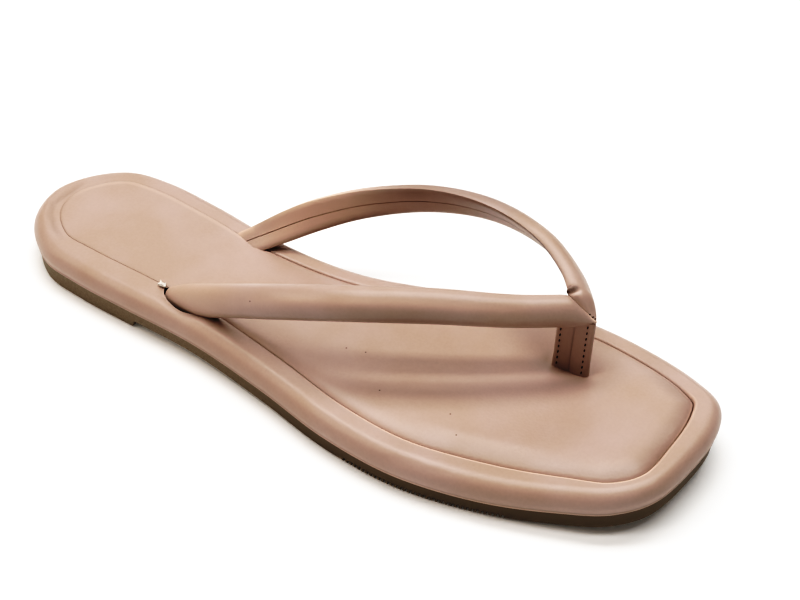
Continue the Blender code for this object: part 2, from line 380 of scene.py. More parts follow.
def patches(tree: bpy.types.NodeTree, place: bpy.types.NodeSocket, size_mm: float,
            detail: float) -> bpy.types.NodeSocket:
    """Soft random patches of a size, from 0 to 1."""
    return add_node(tree, "ShaderNodeTexNoise", {
        "Vector": place, "Scale": per_metre(size_mm), "Detail": detail}).outputs[0]


def spread(tree: bpy.types.NodeTree, value: bpy.types.NodeSocket, span: tuple[float, float],
           result: tuple[float, float]) -> bpy.types.NodeSocket:
    """Map a value from one span to another."""
    return add_node(tree, "ShaderNodeMapRange", {
        "Value": value, "From Min": span[0], "From Max": span[1],
        "To Min": result[0], "To Max": result[1]}).outputs[0]


def blend(tree: bpy.types.NodeTree, share: Any, first: Any, second: Any,
          **settings: Any) -> bpy.types.NodeSocket:
    """Mix two colours."""
    return add_node(tree, "ShaderNodeMix", {0: share, 6: first, 7: second},
                    data_type="RGBA", **settings).outputs[2]


def relief(tree: bpy.types.NodeTree, height: bpy.types.NodeSocket, strength: float,
           depth_mm: float, **under: bpy.types.NodeSocket) -> bpy.types.NodeSocket:
    """Normal of a surface with a fine relief, on top of another relief's Normal if there is one."""
    inputs = {"Height": height, "Strength": strength, "Distance": depth_mm * MM}
    return add_node(tree, "ShaderNodeBump", {**inputs, **under}).outputs[0]


def new_surface(name: str) -> tuple[bpy.types.Material, bpy.types.NodeTree, bpy.types.Node]:
    """Start a material with a bare shader.

    Args:
        name: Name of the material.

    Returns:
        The material, its node tree and its shader.
    """
    material = bpy.data.materials.new(name)
    material.use_nodes = True
    tree = material.node_tree
    return material, tree, tree.nodes["Principled BSDF"]


@dataclass(frozen=True)
class LeatherFinish:
    """Polyurethane-coated faux leather, embossed with a very fine grain.

    It gives the eye an even satin skin, with soft broad highlights, a faint cloudiness
    of pink and sand, and a dull pinprick grain that only shows close up.
    """

    name: str
    pink: str = "#b7a39a"
    sand: str = "#b19c8f"
    # shade: colour of painted shade and of specks; pale: of painted highlights, light and cut
    # edges.
    shade: str = "#3a2118"
    pale: str = "#dcc4b4"
    roughness: float = 0.36
    gloss_sway: tuple[float, float] = (-0.05, 0.07)
    specular: float = 0.5
    ior: float = 1.49
    cloud_mm: float = 24.0
    cloud_span: tuple[float, float] = (0.35, 0.65)
    # The real grain is about 0.3 mm wide; it is drawn coarser, or it would not show.
    grain_mm: float = 0.85
    grain_depth_mm: float = 0.07
    grain_strength: float = 0.5
    grain_span: tuple[float, float] = (0.0, 0.7)
    grain_tones: tuple[float, float] = (0.975, 1.015)
    ripple_mm: float = 7.0
    ripple_depth_mm: float = 0.12
    ripple_strength: float = 0.3
    # Small dark specks, in plan or in space.
    specks: tuple[tuple[float, ...], ...] = ()
    speck_mm: float = 0.33
    speck_core: float = 0.4
    speck_shade: float = 0.8

    def darkness(self, tree: bpy.types.NodeTree, place: bpy.types.NodeSocket,
                 shift: Vector) -> bpy.types.NodeSocket:
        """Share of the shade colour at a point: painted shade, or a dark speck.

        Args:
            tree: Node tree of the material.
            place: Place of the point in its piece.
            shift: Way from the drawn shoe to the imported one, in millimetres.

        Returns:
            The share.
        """
        dark = painted(tree, SHADE)
        flat = add_node(tree, "ShaderNodeVectorMath", {0: place, 1: (1.0, 1.0, 0.0)},
                        operation="MULTIPLY").outputs[0]
        edge = self.speck_mm * MM
        for speck in self.specks:
            centre = (Vector(speck).to_3d() + shift) * MM
            level = flat if len(speck) == 2 else place
            away = add_node(tree, "ShaderNodeVectorMath", {0: level, 1: centre},
                            operation="DISTANCE").outputs["Value"]
            near = spread(tree, away, (edge, self.speck_core * edge), (0.0, self.speck_shade))
            dark = add_node(tree, "ShaderNodeMath", {0: dark, 1: near},
                            operation="MAXIMUM").outputs[0]
        return dark

    def make(self, shift: Vector) -> bpy.types.Material:
        """Build the material.

        Args:
            shift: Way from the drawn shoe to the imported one, in millimetres.

        Returns:
            The finished material.
        """
        material, tree, shader = new_surface(self.name)
        place = own_place(tree)
        cloud = patches(tree, place, self.cloud_mm, 3.0)
        grain = add_node(tree, "ShaderNodeTexVoronoi", {
            "Vector": place, "Scale": per_metre(self.grain_mm)},
            feature="SMOOTH_F1").outputs["Distance"]
        ripple = patches(tree, place, self.ripple_mm, 2.0)

        clouds = spread(tree, cloud, self.cloud_span, (0.0, 1.0))
        skin = blend(tree, clouds, linear(self.pink), linear(self.sand))
        flecks = spread(tree, grain, self.grain_span, self.grain_tones)
        grained = blend(tree, 1.0, skin, flecks, blend_type="MULTIPLY")
        # Painted highlights and painted light, with pale cut edges; then painted shade and specks.
        painted_highlight_and_pale_edge = blend(tree, painted(tree, PALE), grained, linear(self.pale))
        colour = blend(tree, self.darkness(tree, place, shift), painted_highlight_and_pale_edge, linear(self.shade))

        low, high = self.gloss_sway
        rough = (self.roughness + low, self.roughness + high)
        waves = relief(tree, ripple, self.ripple_strength, self.ripple_depth_mm)
        pores = relief(tree, grain, self.grain_strength, self.grain_depth_mm, Normal=waves)
        set_inputs(tree, shader, {
            "Base Color": colour, "Roughness": spread(tree, cloud, (0.0, 1.0), rough),
            "Normal": pores, "Specular IOR Level": self.specular, "IOR": self.ior})
        return material


@dataclass(frozen=True)
class RubberFinish:
    """Compression-moulded brown rubber, matt from the mould, with a light dusting.

    It gives the eye a dull brown edge with faint uneven patches, a pale dusting on the sharp
    corners of the tread, and painted light that makes the heel paler.
    """

    name: str = "brown_rubber_compression_moulded"
    brown: str = "#74675a"
    olive: str = "#786d5c"
    # Pale colour of the tread's dusting, also of the painted light on the heel.
    dust_and_heel_light: str = "#b3a693"
    roughness: float = 0.62
    gloss_sway: tuple[float, float] = (-0.08, 0.10)
    specular: float = 0.35
    ior: float = 1.52
    patch_mm: float = 14.0
    # The mould's grit is finer than this; it is drawn coarser, or it would not show.
    grit_mm: float = 0.7
    grit_depth_mm: float = 0.06
    grit_strength: float = 0.5

    def make(self) -> bpy.types.Material:
        """Build the material.

        Returns:
            The finished material.
        """
        material, tree, shader = new_surface(self.name)
        place = own_place(tree)
        patch = patches(tree, place, self.patch_mm, 4.0)
        grit = patches(tree, place, self.grit_mm, 2.0)
        skin = blend(tree, patch, linear(self.brown), linear(self.olive))
        # Share of the pale colour: dusting, and painted light on the heel.
        dust_and_heel_light_share = add_node(tree, "ShaderNodeMath", {0: painted(tree, PALE), 1: grit},
                         operation="MULTIPLY").outputs[0]
        low, high = self.gloss_sway
        rough = (self.roughness + low, self.roughness + high)
        set_inputs(tree, shader, {
            "Base Color": blend(tree, dust_and_heel_light_share, skin, linear(self.dust_and_heel_light)),
            "Roughness": spread(tree, patch, (0.0, 1.0), rough),
            "Normal": relief(tree, grit, self.grit_strength, self.grit_depth_mm),
            "Specular IOR Level": self.specular, "IOR": self.ior})
        return material


@dataclass(frozen=True)
class ThreadFinish:
    """Spun polyester sewing thread, dyed dark brown.

    It gives the eye small dull dashes with a faint twist.
    """

    name: str = "dark_polyester_thread_spun"
    dark: str = "#2a1710"
    light: str = "#4a3024"
    # Unit of the twist's wave pattern, with two or three bands in it.
    twist_mm: float = 7.0
    twist_bend: float = 1.5
    roughness: float = 0.8
    specular: float = 0.2

    def make(self) -> bpy.types.Material:
        """Build the material.

        Returns:
            The finished material.
        """
        material, tree, shader = new_surface(self.name)
        twist = add_node(tree, "ShaderNodeTexWave", {
            "Vector": own_place(tree), "Scale": per_metre(self.twist_mm),
            "Distortion": self.twist_bend}, bands_direction="DIAGONAL").outputs["Fac"]
        set_inputs(tree, shader, {
            "Base Color": blend(tree, twist, linear(self.dark), linear(self.light)),
            "Roughness": self.roughness, "Specular IOR Level": self.specular})
        return material


@dataclass(frozen=True)
class FibreFinish:
    """Raw fibre board and cut backing inside the slots, torn rather than finished.

    It gives the eye a dull rough surface with uneven fibres.
    """

    name: str
    light: str
    dark: str
    fibre_mm: float = 0.6
    fibre_depth_mm: float = 0.15
    fibre_strength: float = 0.6
    roughness: float = 0.9
    specular: float = 0.15

    def make(self) -> bpy.types.Material:
        """Build the material.

        Returns:
            The finished material.
        """
        material, tree, shader = new_surface(self.name)
        fibre = patches(tree, own_place(tree), self.fibre_mm, 3.0)
        set_inputs(tree, shader, {
            "Base Color": blend(tree, fibre, linear(self.dark), linear(self.light)),
            "Normal": relief(tree, fibre, self.fibre_strength, self.fibre_depth_mm),
            "Roughness": self.roughness, "Specular IOR Level": self.specular})
        return material


@dataclass(frozen=True)
class PaperFinish:
    """Seamless white studio paper, uncoated, so it gives the eye no gloss of its own."""

    name: str = "white_studio_paper_uncoated"
    colour: str = "#f6f6f5"
    roughness: float = 0.95
    # Painted light: the paper glows, so that shadows on it stay thin and its far end white.
    painted_glow: float = 0.10
    far_painted_glow: float = 1.4
    glow_start_m: float = 0.5
    glow_end_m: float = 1.6

    def make(self) -> bpy.types.Material:
        """Build the material.

        Returns:
            The finished material.
        """
        material, tree, shader = new_surface(self.name)
        away = add_node(tree, "ShaderNodeVectorMath", {0: own_place(tree)},
                        operation="LENGTH").outputs["Value"]
        reach = (self.glow_start_m, self.glow_end_m)
        set_inputs(tree, shader, {
            "Base Color": linear(self.colour), "Emission Color": linear(self.colour),
            "Emission Strength": spread(tree, away, reach, (self.painted_glow, self.far_painted_glow)),
            "Roughness": self.roughness, "Specular IOR Level": 0.0})
        return material


class Skin:
    """Surface that is grown ring by ring, each ring extruded from the one before."""

    def __init__(self, ring: Sequence[Vector]) -> None:
        """Start with one closed ring.

        Args:
            ring: Points of the ring, in order.
        """
        self.mesh = bmesh.new()
        made = bmesh.ops.create_circle(self.mesh, segments=len(ring), radius=1.0)
        self.ring: list[bmesh.types.BMVert] = list(made["verts"])
        self.first = self.ring
        self._put(ring)

    def _put(self, ring: Sequence[Vector]) -> None:
        """Move the newest ring to its places."""
        for vertex, point in zip(self.ring, ring):
            vertex.co = point

    def _edges(self, ring: Sequence[bmesh.types.BMVert]) -> list[bmesh.types.BMEdge]:
        """Edges of one ring, in order."""
        pairs = zip(ring, [*ring[1:], ring[0]])
        return [self.mesh.edges.get(pair) for pair in pairs]

    def grow(self, ring: Sequence[Vector]) -> None:
        """Extrude the newest ring and move the copy to its places.

        Args:
            ring: Points of the new ring, in the same order.
        """
        made = bmesh.ops.extrude_edge_only(self.mesh, edges=self._edges(self.ring))
        fresh = {item for item in made["geom"] if isinstance(item, bmesh.types.BMVert)}
        after = []
        for vertex in self.ring:
            others = (edge.other_vert(vertex) for edge in vertex.link_edges)
            after.append(next(other for other in others if other in fresh))
        self.ring = after
        self._put(ring)

    def restart(self) -> None:
        """Go on growing from the other end, at the first ring."""
        self.ring, self.first = self.first, self.ring

    def cap(self) -> None:
        """Close the newest ring with one face."""
        bmesh.ops.edgeloop_fill(self.mesh, edges=self._edges(self.ring))

    def cross(self, shares: Sequence[float], height: Callable[[Vector, float], float]) -> None:
        """Close a sole ring with strips that run to its middle line.

        Args:
            shares: Places of the strips, from the ring at 0 to the middle line at 1.
            height: Height of a point, from the point and its share.
        """
        edge = [vertex.co.copy() for vertex in self.ring]
        count = len(edge)
        middle = [(edge[at] + edge[-at % count]) / 2.0 for at in range(count)]
        for share in shares:
            ring = [mix(outer, inner, share) for outer, inner in zip(edge, middle)]
            for point in ring:
                point.z = height(point, share)
            self.grow(ring)

    def weld(self) -> bmesh.types.BMesh:
        """Merge doubles and turn the faces outwards.

        Returns:
            The finished mesh.
        """
        bmesh.ops.remove_doubles(self.mesh, verts=self.mesh.verts, dist=WELD)
        bmesh.ops.recalc_face_normals(self.mesh, faces=self.mesh.faces)
        return self.mesh


class Rim:
    """Closed line in plan that distances are measured from."""

    def __init__(self, points: Sequence[Vector]) -> None:
        """Lay the line through points, seen from above.

        Args:
            points: Points of the line, in order.
        """
        self.points = [Vector((point.x, point.y, 0.0)) for point in points]
        self.tree = kdtree.KDTree(len(self.points))
        for index, point in enumerate(self.points):
            self.tree.insert(point, index)
        self.tree.balance()

    def gap(self, point: Vector) -> float:
        """Distance from the line, seen from above.

        Args:
            point: The point.

        Returns:
            The distance.
        """
        flat = Vector((point.x, point.y, 0.0))
        _, index, _ = self.tree.find(flat)
        count = len(self.points)
        near = [self.points[(index + step) % count] for step in (-1, 0, 1)]
        return min(from_span(flat, a, b) for a, b in zip(near, near[1:]))


def press(mesh: bmesh.types.BMesh, creases: Sequence[Crease]) -> None:
    """Sink soft troughs into a surface along its normals.

    Args:
        mesh: Mesh in millimetres.
        creases: Troughs and ridges.
    """
    mesh.normal_update()
    moves = []
    for vertex in mesh.verts:
        sink = sum(crease.depth_at(vertex.co) for crease in creases)
        moves.append(vertex.normal * sink)
    for vertex, move in zip(mesh.verts, moves):
        vertex.co -= move


def paint(mesh: bmesh.types.BMesh, name: str, value: Callable[[Vector], float]) -> None:
    """Give every vertex a value that its material reads.

    Args:
        mesh: Mesh in millimetres.
        name: Name of the attribute.
        value: Value at a point.
    """
    layer = mesh.verts.layers.float.get(name) or mesh.verts.layers.float.new(name)
    for vertex in mesh.verts:
        vertex[layer] = value(vertex.co)


@dataclass
class Workshop:
    """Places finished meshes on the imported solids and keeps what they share."""

    shift: Vector
    finishes: dict[str, bpy.types.Material] = field(default_factory=dict)

    def to_object(
        self,
        name: str,
        mesh: bmesh.types.BMesh,
        materials: Sequence[bpy.types.Material],
        sharp_deg: float = SHARP_DEG,
    ) -> bpy.types.Object:
        """Move a mesh in millimetres to its place and make it an object.

        Args:
            name: Name of the piece.
            mesh: Mesh in millimetres; it is freed.
            materials: Materials of the piece.
            sharp_deg: Edges that turn more than this stay sharp.

        Returns:
            The new object.
        """
        place = Matrix.Scale(MM, 4) @ Matrix.Translation(self.shift)
        bmesh.ops.transform(mesh, matrix=place, verts=mesh.verts)
        data = bpy.data.meshes.new(name)
        mesh.to_mesh(data)
        mesh.free()
        data.shade_smooth()
        data.set_sharp_from_angle(angle=math.radians(sharp_deg))
        for material in materials:
            data.materials.append(material)
        piece = bpy.data.objects.new(name, data)
        bpy.context.scene.collection.objects.link(piece)
        return piece

    def cut(self, piece: bpy.types.Object, cutters: Sequence[bpy.types.Object]) -> None:
        """Take the cutters out of a piece; their own material lines the hole.

        Args:
            piece: Piece to cut.
            cutters: Objects that only cut.
        """
        for cutter in cutters:
            boolean = piece.modifiers.new(cutter.name, "BOOLEAN")
            boolean.operation = "DIFFERENCE"
            boolean.solver = "EXACT"
            boolean.material_mode = "TRANSFER"
            boolean.object = cutter
        graph = bpy.context.evaluated_depsgraph_get()
        carved = bpy.data.meshes.new_from_object(piece.evaluated_get(graph))
        piece.modifiers.clear()
        piece.data = carved
        carved.set_sharp_from_angle(angle=math.radians(SHARP_DEG))

    def ship(
        self,
        piece: bpy.types.Object,
        node: str | None = None,
    ) -> None:
        """Declare a finished piece and report it.

        Args:
            piece: The piece.
            node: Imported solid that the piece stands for.
        """
        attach(piece, BODY)
        if node is not None:
            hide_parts(node)
        LOG.info("%s: %d faces", piece.name, len(piece.data.polygons))


@dataclass
class SoleForm:
    """Outline and heights that all layers of the sole share, in millimetres."""

    sides: tuple[SideRow, ...] = (
        SideRow(18.0, 25.0, -25.2, 9.5, 8.4),
        SideRow(34.0, 28.3, -27.6, 10.3, 8.4),
        SideRow(56.0, 30.0, -25.6, 10.7, 8.4),
        SideRow(84.0, 31.6, -21.6, 10.1, 8.3),
        SideRow(114.0, 36.8, -22.6, 9.7, 8.2),
        SideRow(141.0, 43.0, -30.8, 9.5, 8.2),
        SideRow(167.0, 45.1, -40.0, 9.3, 8.2),
        SideRow(194.0, 40.7, -42.5, 9.6, 8.3),
        SideRow(216.0, 33.6, -38.7, 8.5, 8.4),
    )
    heel_middle: EndRow = EndRow(-1.8, 0.8, 9.4)
    heel_lateral: EndRow = EndRow(13.0, 4.4, 9.4)
    heel_medial: EndRow = EndRow(-14.8, 6.2, 8.8)
    toe: tuple[EndRow, ...] = (
        EndRow(27.2, 230.6, 7.0),
        EndRow(17.5, 239.9, 6.9),
        EndRow(0.6, 244.6, 8.4),
        EndRow(-15.5, 245.7, 9.2),
        EndRow(-25.7, 242.3, 8.8),
        EndRow(-32.2, 233.0, 8.5),
    )
    base_heel: float = 6.15
    base_forefoot: float = 4.65
    base_drop: tuple[float, float] = (62.0, 150.0)
    wrap_edge: float = 0.95
    spring: float = 5.7
    spring_start: float = 185.0
    spring_run: float = 60.0
    spring_power: float = 1.8
    sole_spring: float = 0.86
    breast: tuple[float, float] = (57.2, 58.3)
    waist_lift: float = 2.5
    waist_end: float = 138.0
    # The sock's groove is closed at the heel and opens over this span, towards the ball.
    groove_open: tuple[float, float] = (62.0, 112.0)
    heel_steps: int = 26
    toe_steps: int = 36
    row_step: float = 1.5

    def __post_init__(self) -> None:
        """Join the tables to one loop of knots, from the heel up the lateral side."""
        loop = [self.heel_middle, self.heel_lateral]
        loop += [EndRow(row.lateral, row.y, row.lateral_border) for row in self.sides]
        loop += list(self.toe)
        loop += [EndRow(row.medial, row.y, row.medial_border) for row in reversed(self.sides)]
        loop.append(self.heel_medial)
        self.knots = [Vector(row) for row in loop]

    def at(self, u: float) -> Vector:
        """Point of the outline, with its border's width as z.

        Args:
            u: Place on the outline, counted in knots.

        Returns:
            The point.
        """
        count = len(self.knots)
        first = math.floor(u)
        around = [self.knots[(first + step) % count] for step in (-1, 0, 1, 2)]
        return spline(*around, u - first)

    def station(self, u: float) -> Station:
        """Place on the outline with its way inwards.

        Args:
            u: Place on the outline, counted in knots.

        Returns:
            The place.
        """
        here = self.at(u)
        along = self.at(u + KNOT_STEP) - self.at(u - KNOT_STEP)
        inward = Vector((-along.y, along.x)).normalized()
        return Station(Vector((here.x, here.y)), inward, here.z)

    def find(self, y: float, low: float, high: float) -> float:
        """Search for the place where one side of the outline reaches y.

        Args:
            y: Place along the shoe.
            low: Knot before the place.
            high: Knot after the place.

        Returns:
            The place, counted in knots.
        """
        rising = self.at(high).y > self.at(low).y
        for _ in range(HALVINGS):
            middle = (low + high) / 2.0
            if (self.at(middle).y < y) == rising:
                low = middle
            else:
                high = middle
        return (low + high) / 2.0

    def stations(self, rows: Sequence[float] | None = None) -> list[Station]:
        """Closed ring of places, in pairs that face each other across the sole.

        Args:
            rows: Places of the cross sections, or none for even ones.

        Returns:
            The ring, from the middle of the heel up the lateral side.
        """
        if rows is None:
            span = self.sides[-1].y - self.sides[0].y
            steps = round(span / self.row_step)
            rows = [self.sides[0].y + span * step / steps for step in range(steps + 1)]
        # The sides begin two knots away from the middle of the heel, both ways.
        first = 2
        last = first + len(self.sides) - 1
        toe_knots = len(self.toe) + 1
        count = len(self.knots)
        lateral = [first * step / self.heel_steps for step in range(self.heel_steps)]
        medial = [count - u for u in lateral]
        for y in rows:
            lateral.append(self.find(y, first, last))
            medial.append(self.find(y, last + toe_knots, count - first))
        for step in range(1, self.toe_steps + 1):
            share = toe_knots / 2.0 * step / self.toe_steps
            lateral.append(last + share)
            medial.append(last + toe_knots - share)
        return [self.station(u) for u in lateral + medial[-2:0:-1]]

    def groove(self) -> Rim:
        """Line of the groove around the sock."""
        return Rim([place.point + place.inward * place.border for place in self.stations()])

    def opening(self, y: float) -> float:
        """How far the groove has opened at y, from 0 at the heel to 1 at the ball."""
        return smoothstep(*self.groove_open, y)

    def lift(self, y: float) -> float:
        """Toe spring at y."""
        run = max(y - self.spring_start, 0.0) / self.spring_run
        return self.spring * run ** self.spring_power

    def base(self, y: float) -> float:
        """Height of the face between outsole and footbed."""
        drop = (self.base_heel - self.base_forefoot) * smoothstep(*self.base_drop, y)
        return self.base_heel - drop + self.lift(y)

    def split(self, y: float) -> float:
        """Height of the wrap's lower edge, where the outsole begins to show."""
        return self.base(y) + self.wrap_edge

    def underside(self, y: float) -> float:
        """Height of the tread: flat heel, breast, arched waist, flat forefoot, spring.

        Args:
            y: Place along the shoe.

        Returns:
            The height over the floor.
        """
        breast = smoothstep(*self.breast, y)
        waist = 1.0 - smoothstep(self.breast[1], self.waist_end, y)
        return self.waist_lift * breast * waist + self.sole_spring * self.lift(y)


@dataclass
class Outsole:
    """Moulded outsole with its low heel, arched waist and the fine tread's teeth."""

    form: SoleForm
    # Cross sections away from the teeth, and shares of the breast that have one.
    row_runs: tuple[RowRun, ...] = (
        RowRun(18.0, 3.0, 13),
        RowRun(61.0, 3.5, 2),
        RowRun(68.0, 4.0, 20),
        RowRun(207.0, 3.0, 4),
    )
    breast_shares: tuple[float, ...] = (0.0, 0.3, 0.6, 1.0)
    tooth_start: float = 147.7
    tooth_count: int = 36
    tooth_pitch: float = 1.5
    tooth_corners: tuple[float, ...] = (0.0, 0.7, 0.85, 1.35)
    tooth_rear: tuple[float, float] = (0.68, 0.86)
    tooth_front: tuple[float, float] = (1.34, 1.5)
    tooth_depth: float = 0.55
    tooth_inset: float = 0.4
    tooth_margin: float = 2.0
    wall_inset: float = 1.3
    walls: tuple[WallRow, ...] = (
        WallRow(0.7, 0.0, 0.0, True),
        WallRow(0.2, 0.0, 0.2, True),
        WallRow(0.0, 0.0, 0.6, True),
        WallRow(0.0, 0.0, 1.6, False),
        WallRow(-0.05, 0.7, 0.0, False),
        WallRow(-0.05, 1.0, -0.25, False),
        WallRow(0.3, 1.0, 0.0, False),
    )
    seat: float = 0.02
    tread_shares: tuple[float, ...] = (0.1, 0.3, 0.5, 0.7, 0.85, 1.0)
    # Painted light makes the heel paler; the wall is dusted low and the teeth more.
    heel_painted_light: float = 0.6
    heel_painted_light_run: tuple[float, float] = (70.0, 150.0)
    low_dust: float = 0.2
    low_dust_run: tuple[float, float] = (0.2, 1.6)
    tooth_dust: float = 1.4

    def tooth_end(self) -> float:
        """Place where the last tooth ends."""
        return self.tooth_start + self.tooth_pitch * self.tooth_count

    def rows(self) -> list[float]:
        """Cross sections along the shoe, close together on the breast and the teeth.

        Returns:
            Their places, from the heel on.
        """
        rows = [place for run in self.row_runs for place in run.places()]
        rows += [mix(*self.form.breast, share) for share in self.breast_shares]
        starts = RowRun(self.tooth_start, self.tooth_pitch, self.tooth_count).places()
        rows += [start + corner for start in starts for corner in self.tooth_corners]
        return sorted([*rows, self.tooth_end(), self.tooth_end() + self.tooth_margin])

    def tooth_gap(self, y: float) -> float:
        """How far a place lies in a gap between two teeth.

        Args:
            y: Place along the shoe.

        Returns:
            From 0 on a tooth to 1 in a gap.
        """
        along = y - self.tooth_start
        if not 0.0 <= along <= self.tooth_pitch * self.tooth_count:
            return 0.0
        return band(along % self.tooth_pitch, self.tooth_rear, self.tooth_front)

    def top(self, y: float) -> float:
        """Height of the upper face, which ends just under the wrap's lower edge."""
        return self.form.split(y) - self.seat

    def tread(self, y: float) -> float:
        """Height of the underside, with the gaps between the teeth."""
        return self.form.underside(y) + self.tooth_gap(y) * self.tooth_depth

    def edge(self, ring: Sequence[Station], row: WallRow) -> list[Vector]:
        """One ring of the wall.

        Args:
            ring: Places on the sole's outline.
            row: The ring's inset, height and teeth.

        Returns:
            Its points.
        """
        points = []
        for place in ring:
            y = place.point.y
            gap = self.tooth_gap(y) if row.toothed else 0.0
            inset = self.wall_inset + row.inset + gap * self.tooth_inset
            flat = place.point + place.inward * inset
            height = mix(self.form.underside(y), self.top(y), row.share) + row.rise
            points.append(Vector((flat.x, flat.y, height + gap * self.tooth_depth)))
        return points

    def dust_and_heel_light(self, point: Vector) -> float:
        """How pale the rubber is: painted light at the heel, and a dusting low on the wall and on
        the teeth.

        Args:
            point: Place on the outsole.

        Returns:
            The share of the pale colour.
        """
        height = point.z - self.form.underside(point.y)
        low = 1.0 - smoothstep(*self.low_dust_run, height)
        heel = self.heel_painted_light * (1.0 - smoothstep(*self.heel_painted_light_run, point.y))
        if not self.tooth_start <= point.y <= self.tooth_end():
            return heel + self.low_dust * low
        return heel + self.tooth_dust * low * (1.0 - self.tooth_gap(point.y))

    def build(self, shop: Workshop) -> None:
        """Args:
            shop: Where the piece is finished.
        """
        ring = self.form.stations(self.rows())
        skin = Skin(self.edge(ring, self.walls[0]))
        for row in self.walls[1:]:
            skin.grow(self.edge(ring, row))
        skin.cross(PLAIN_SHARES, lambda point, share: self.top(point.y))
        skin.restart()
        skin.cross(self.tread_shares, lambda point, share: self.tread(point.y))
        mesh = skin.weld()
        paint(mesh, PALE, self.dust_and_heel_light)
        piece = shop.to_object("outsole_moulded", mesh, [shop.finishes["rubber"]], CRISP_DEG)
        shop.ship(piece, node="outsole")


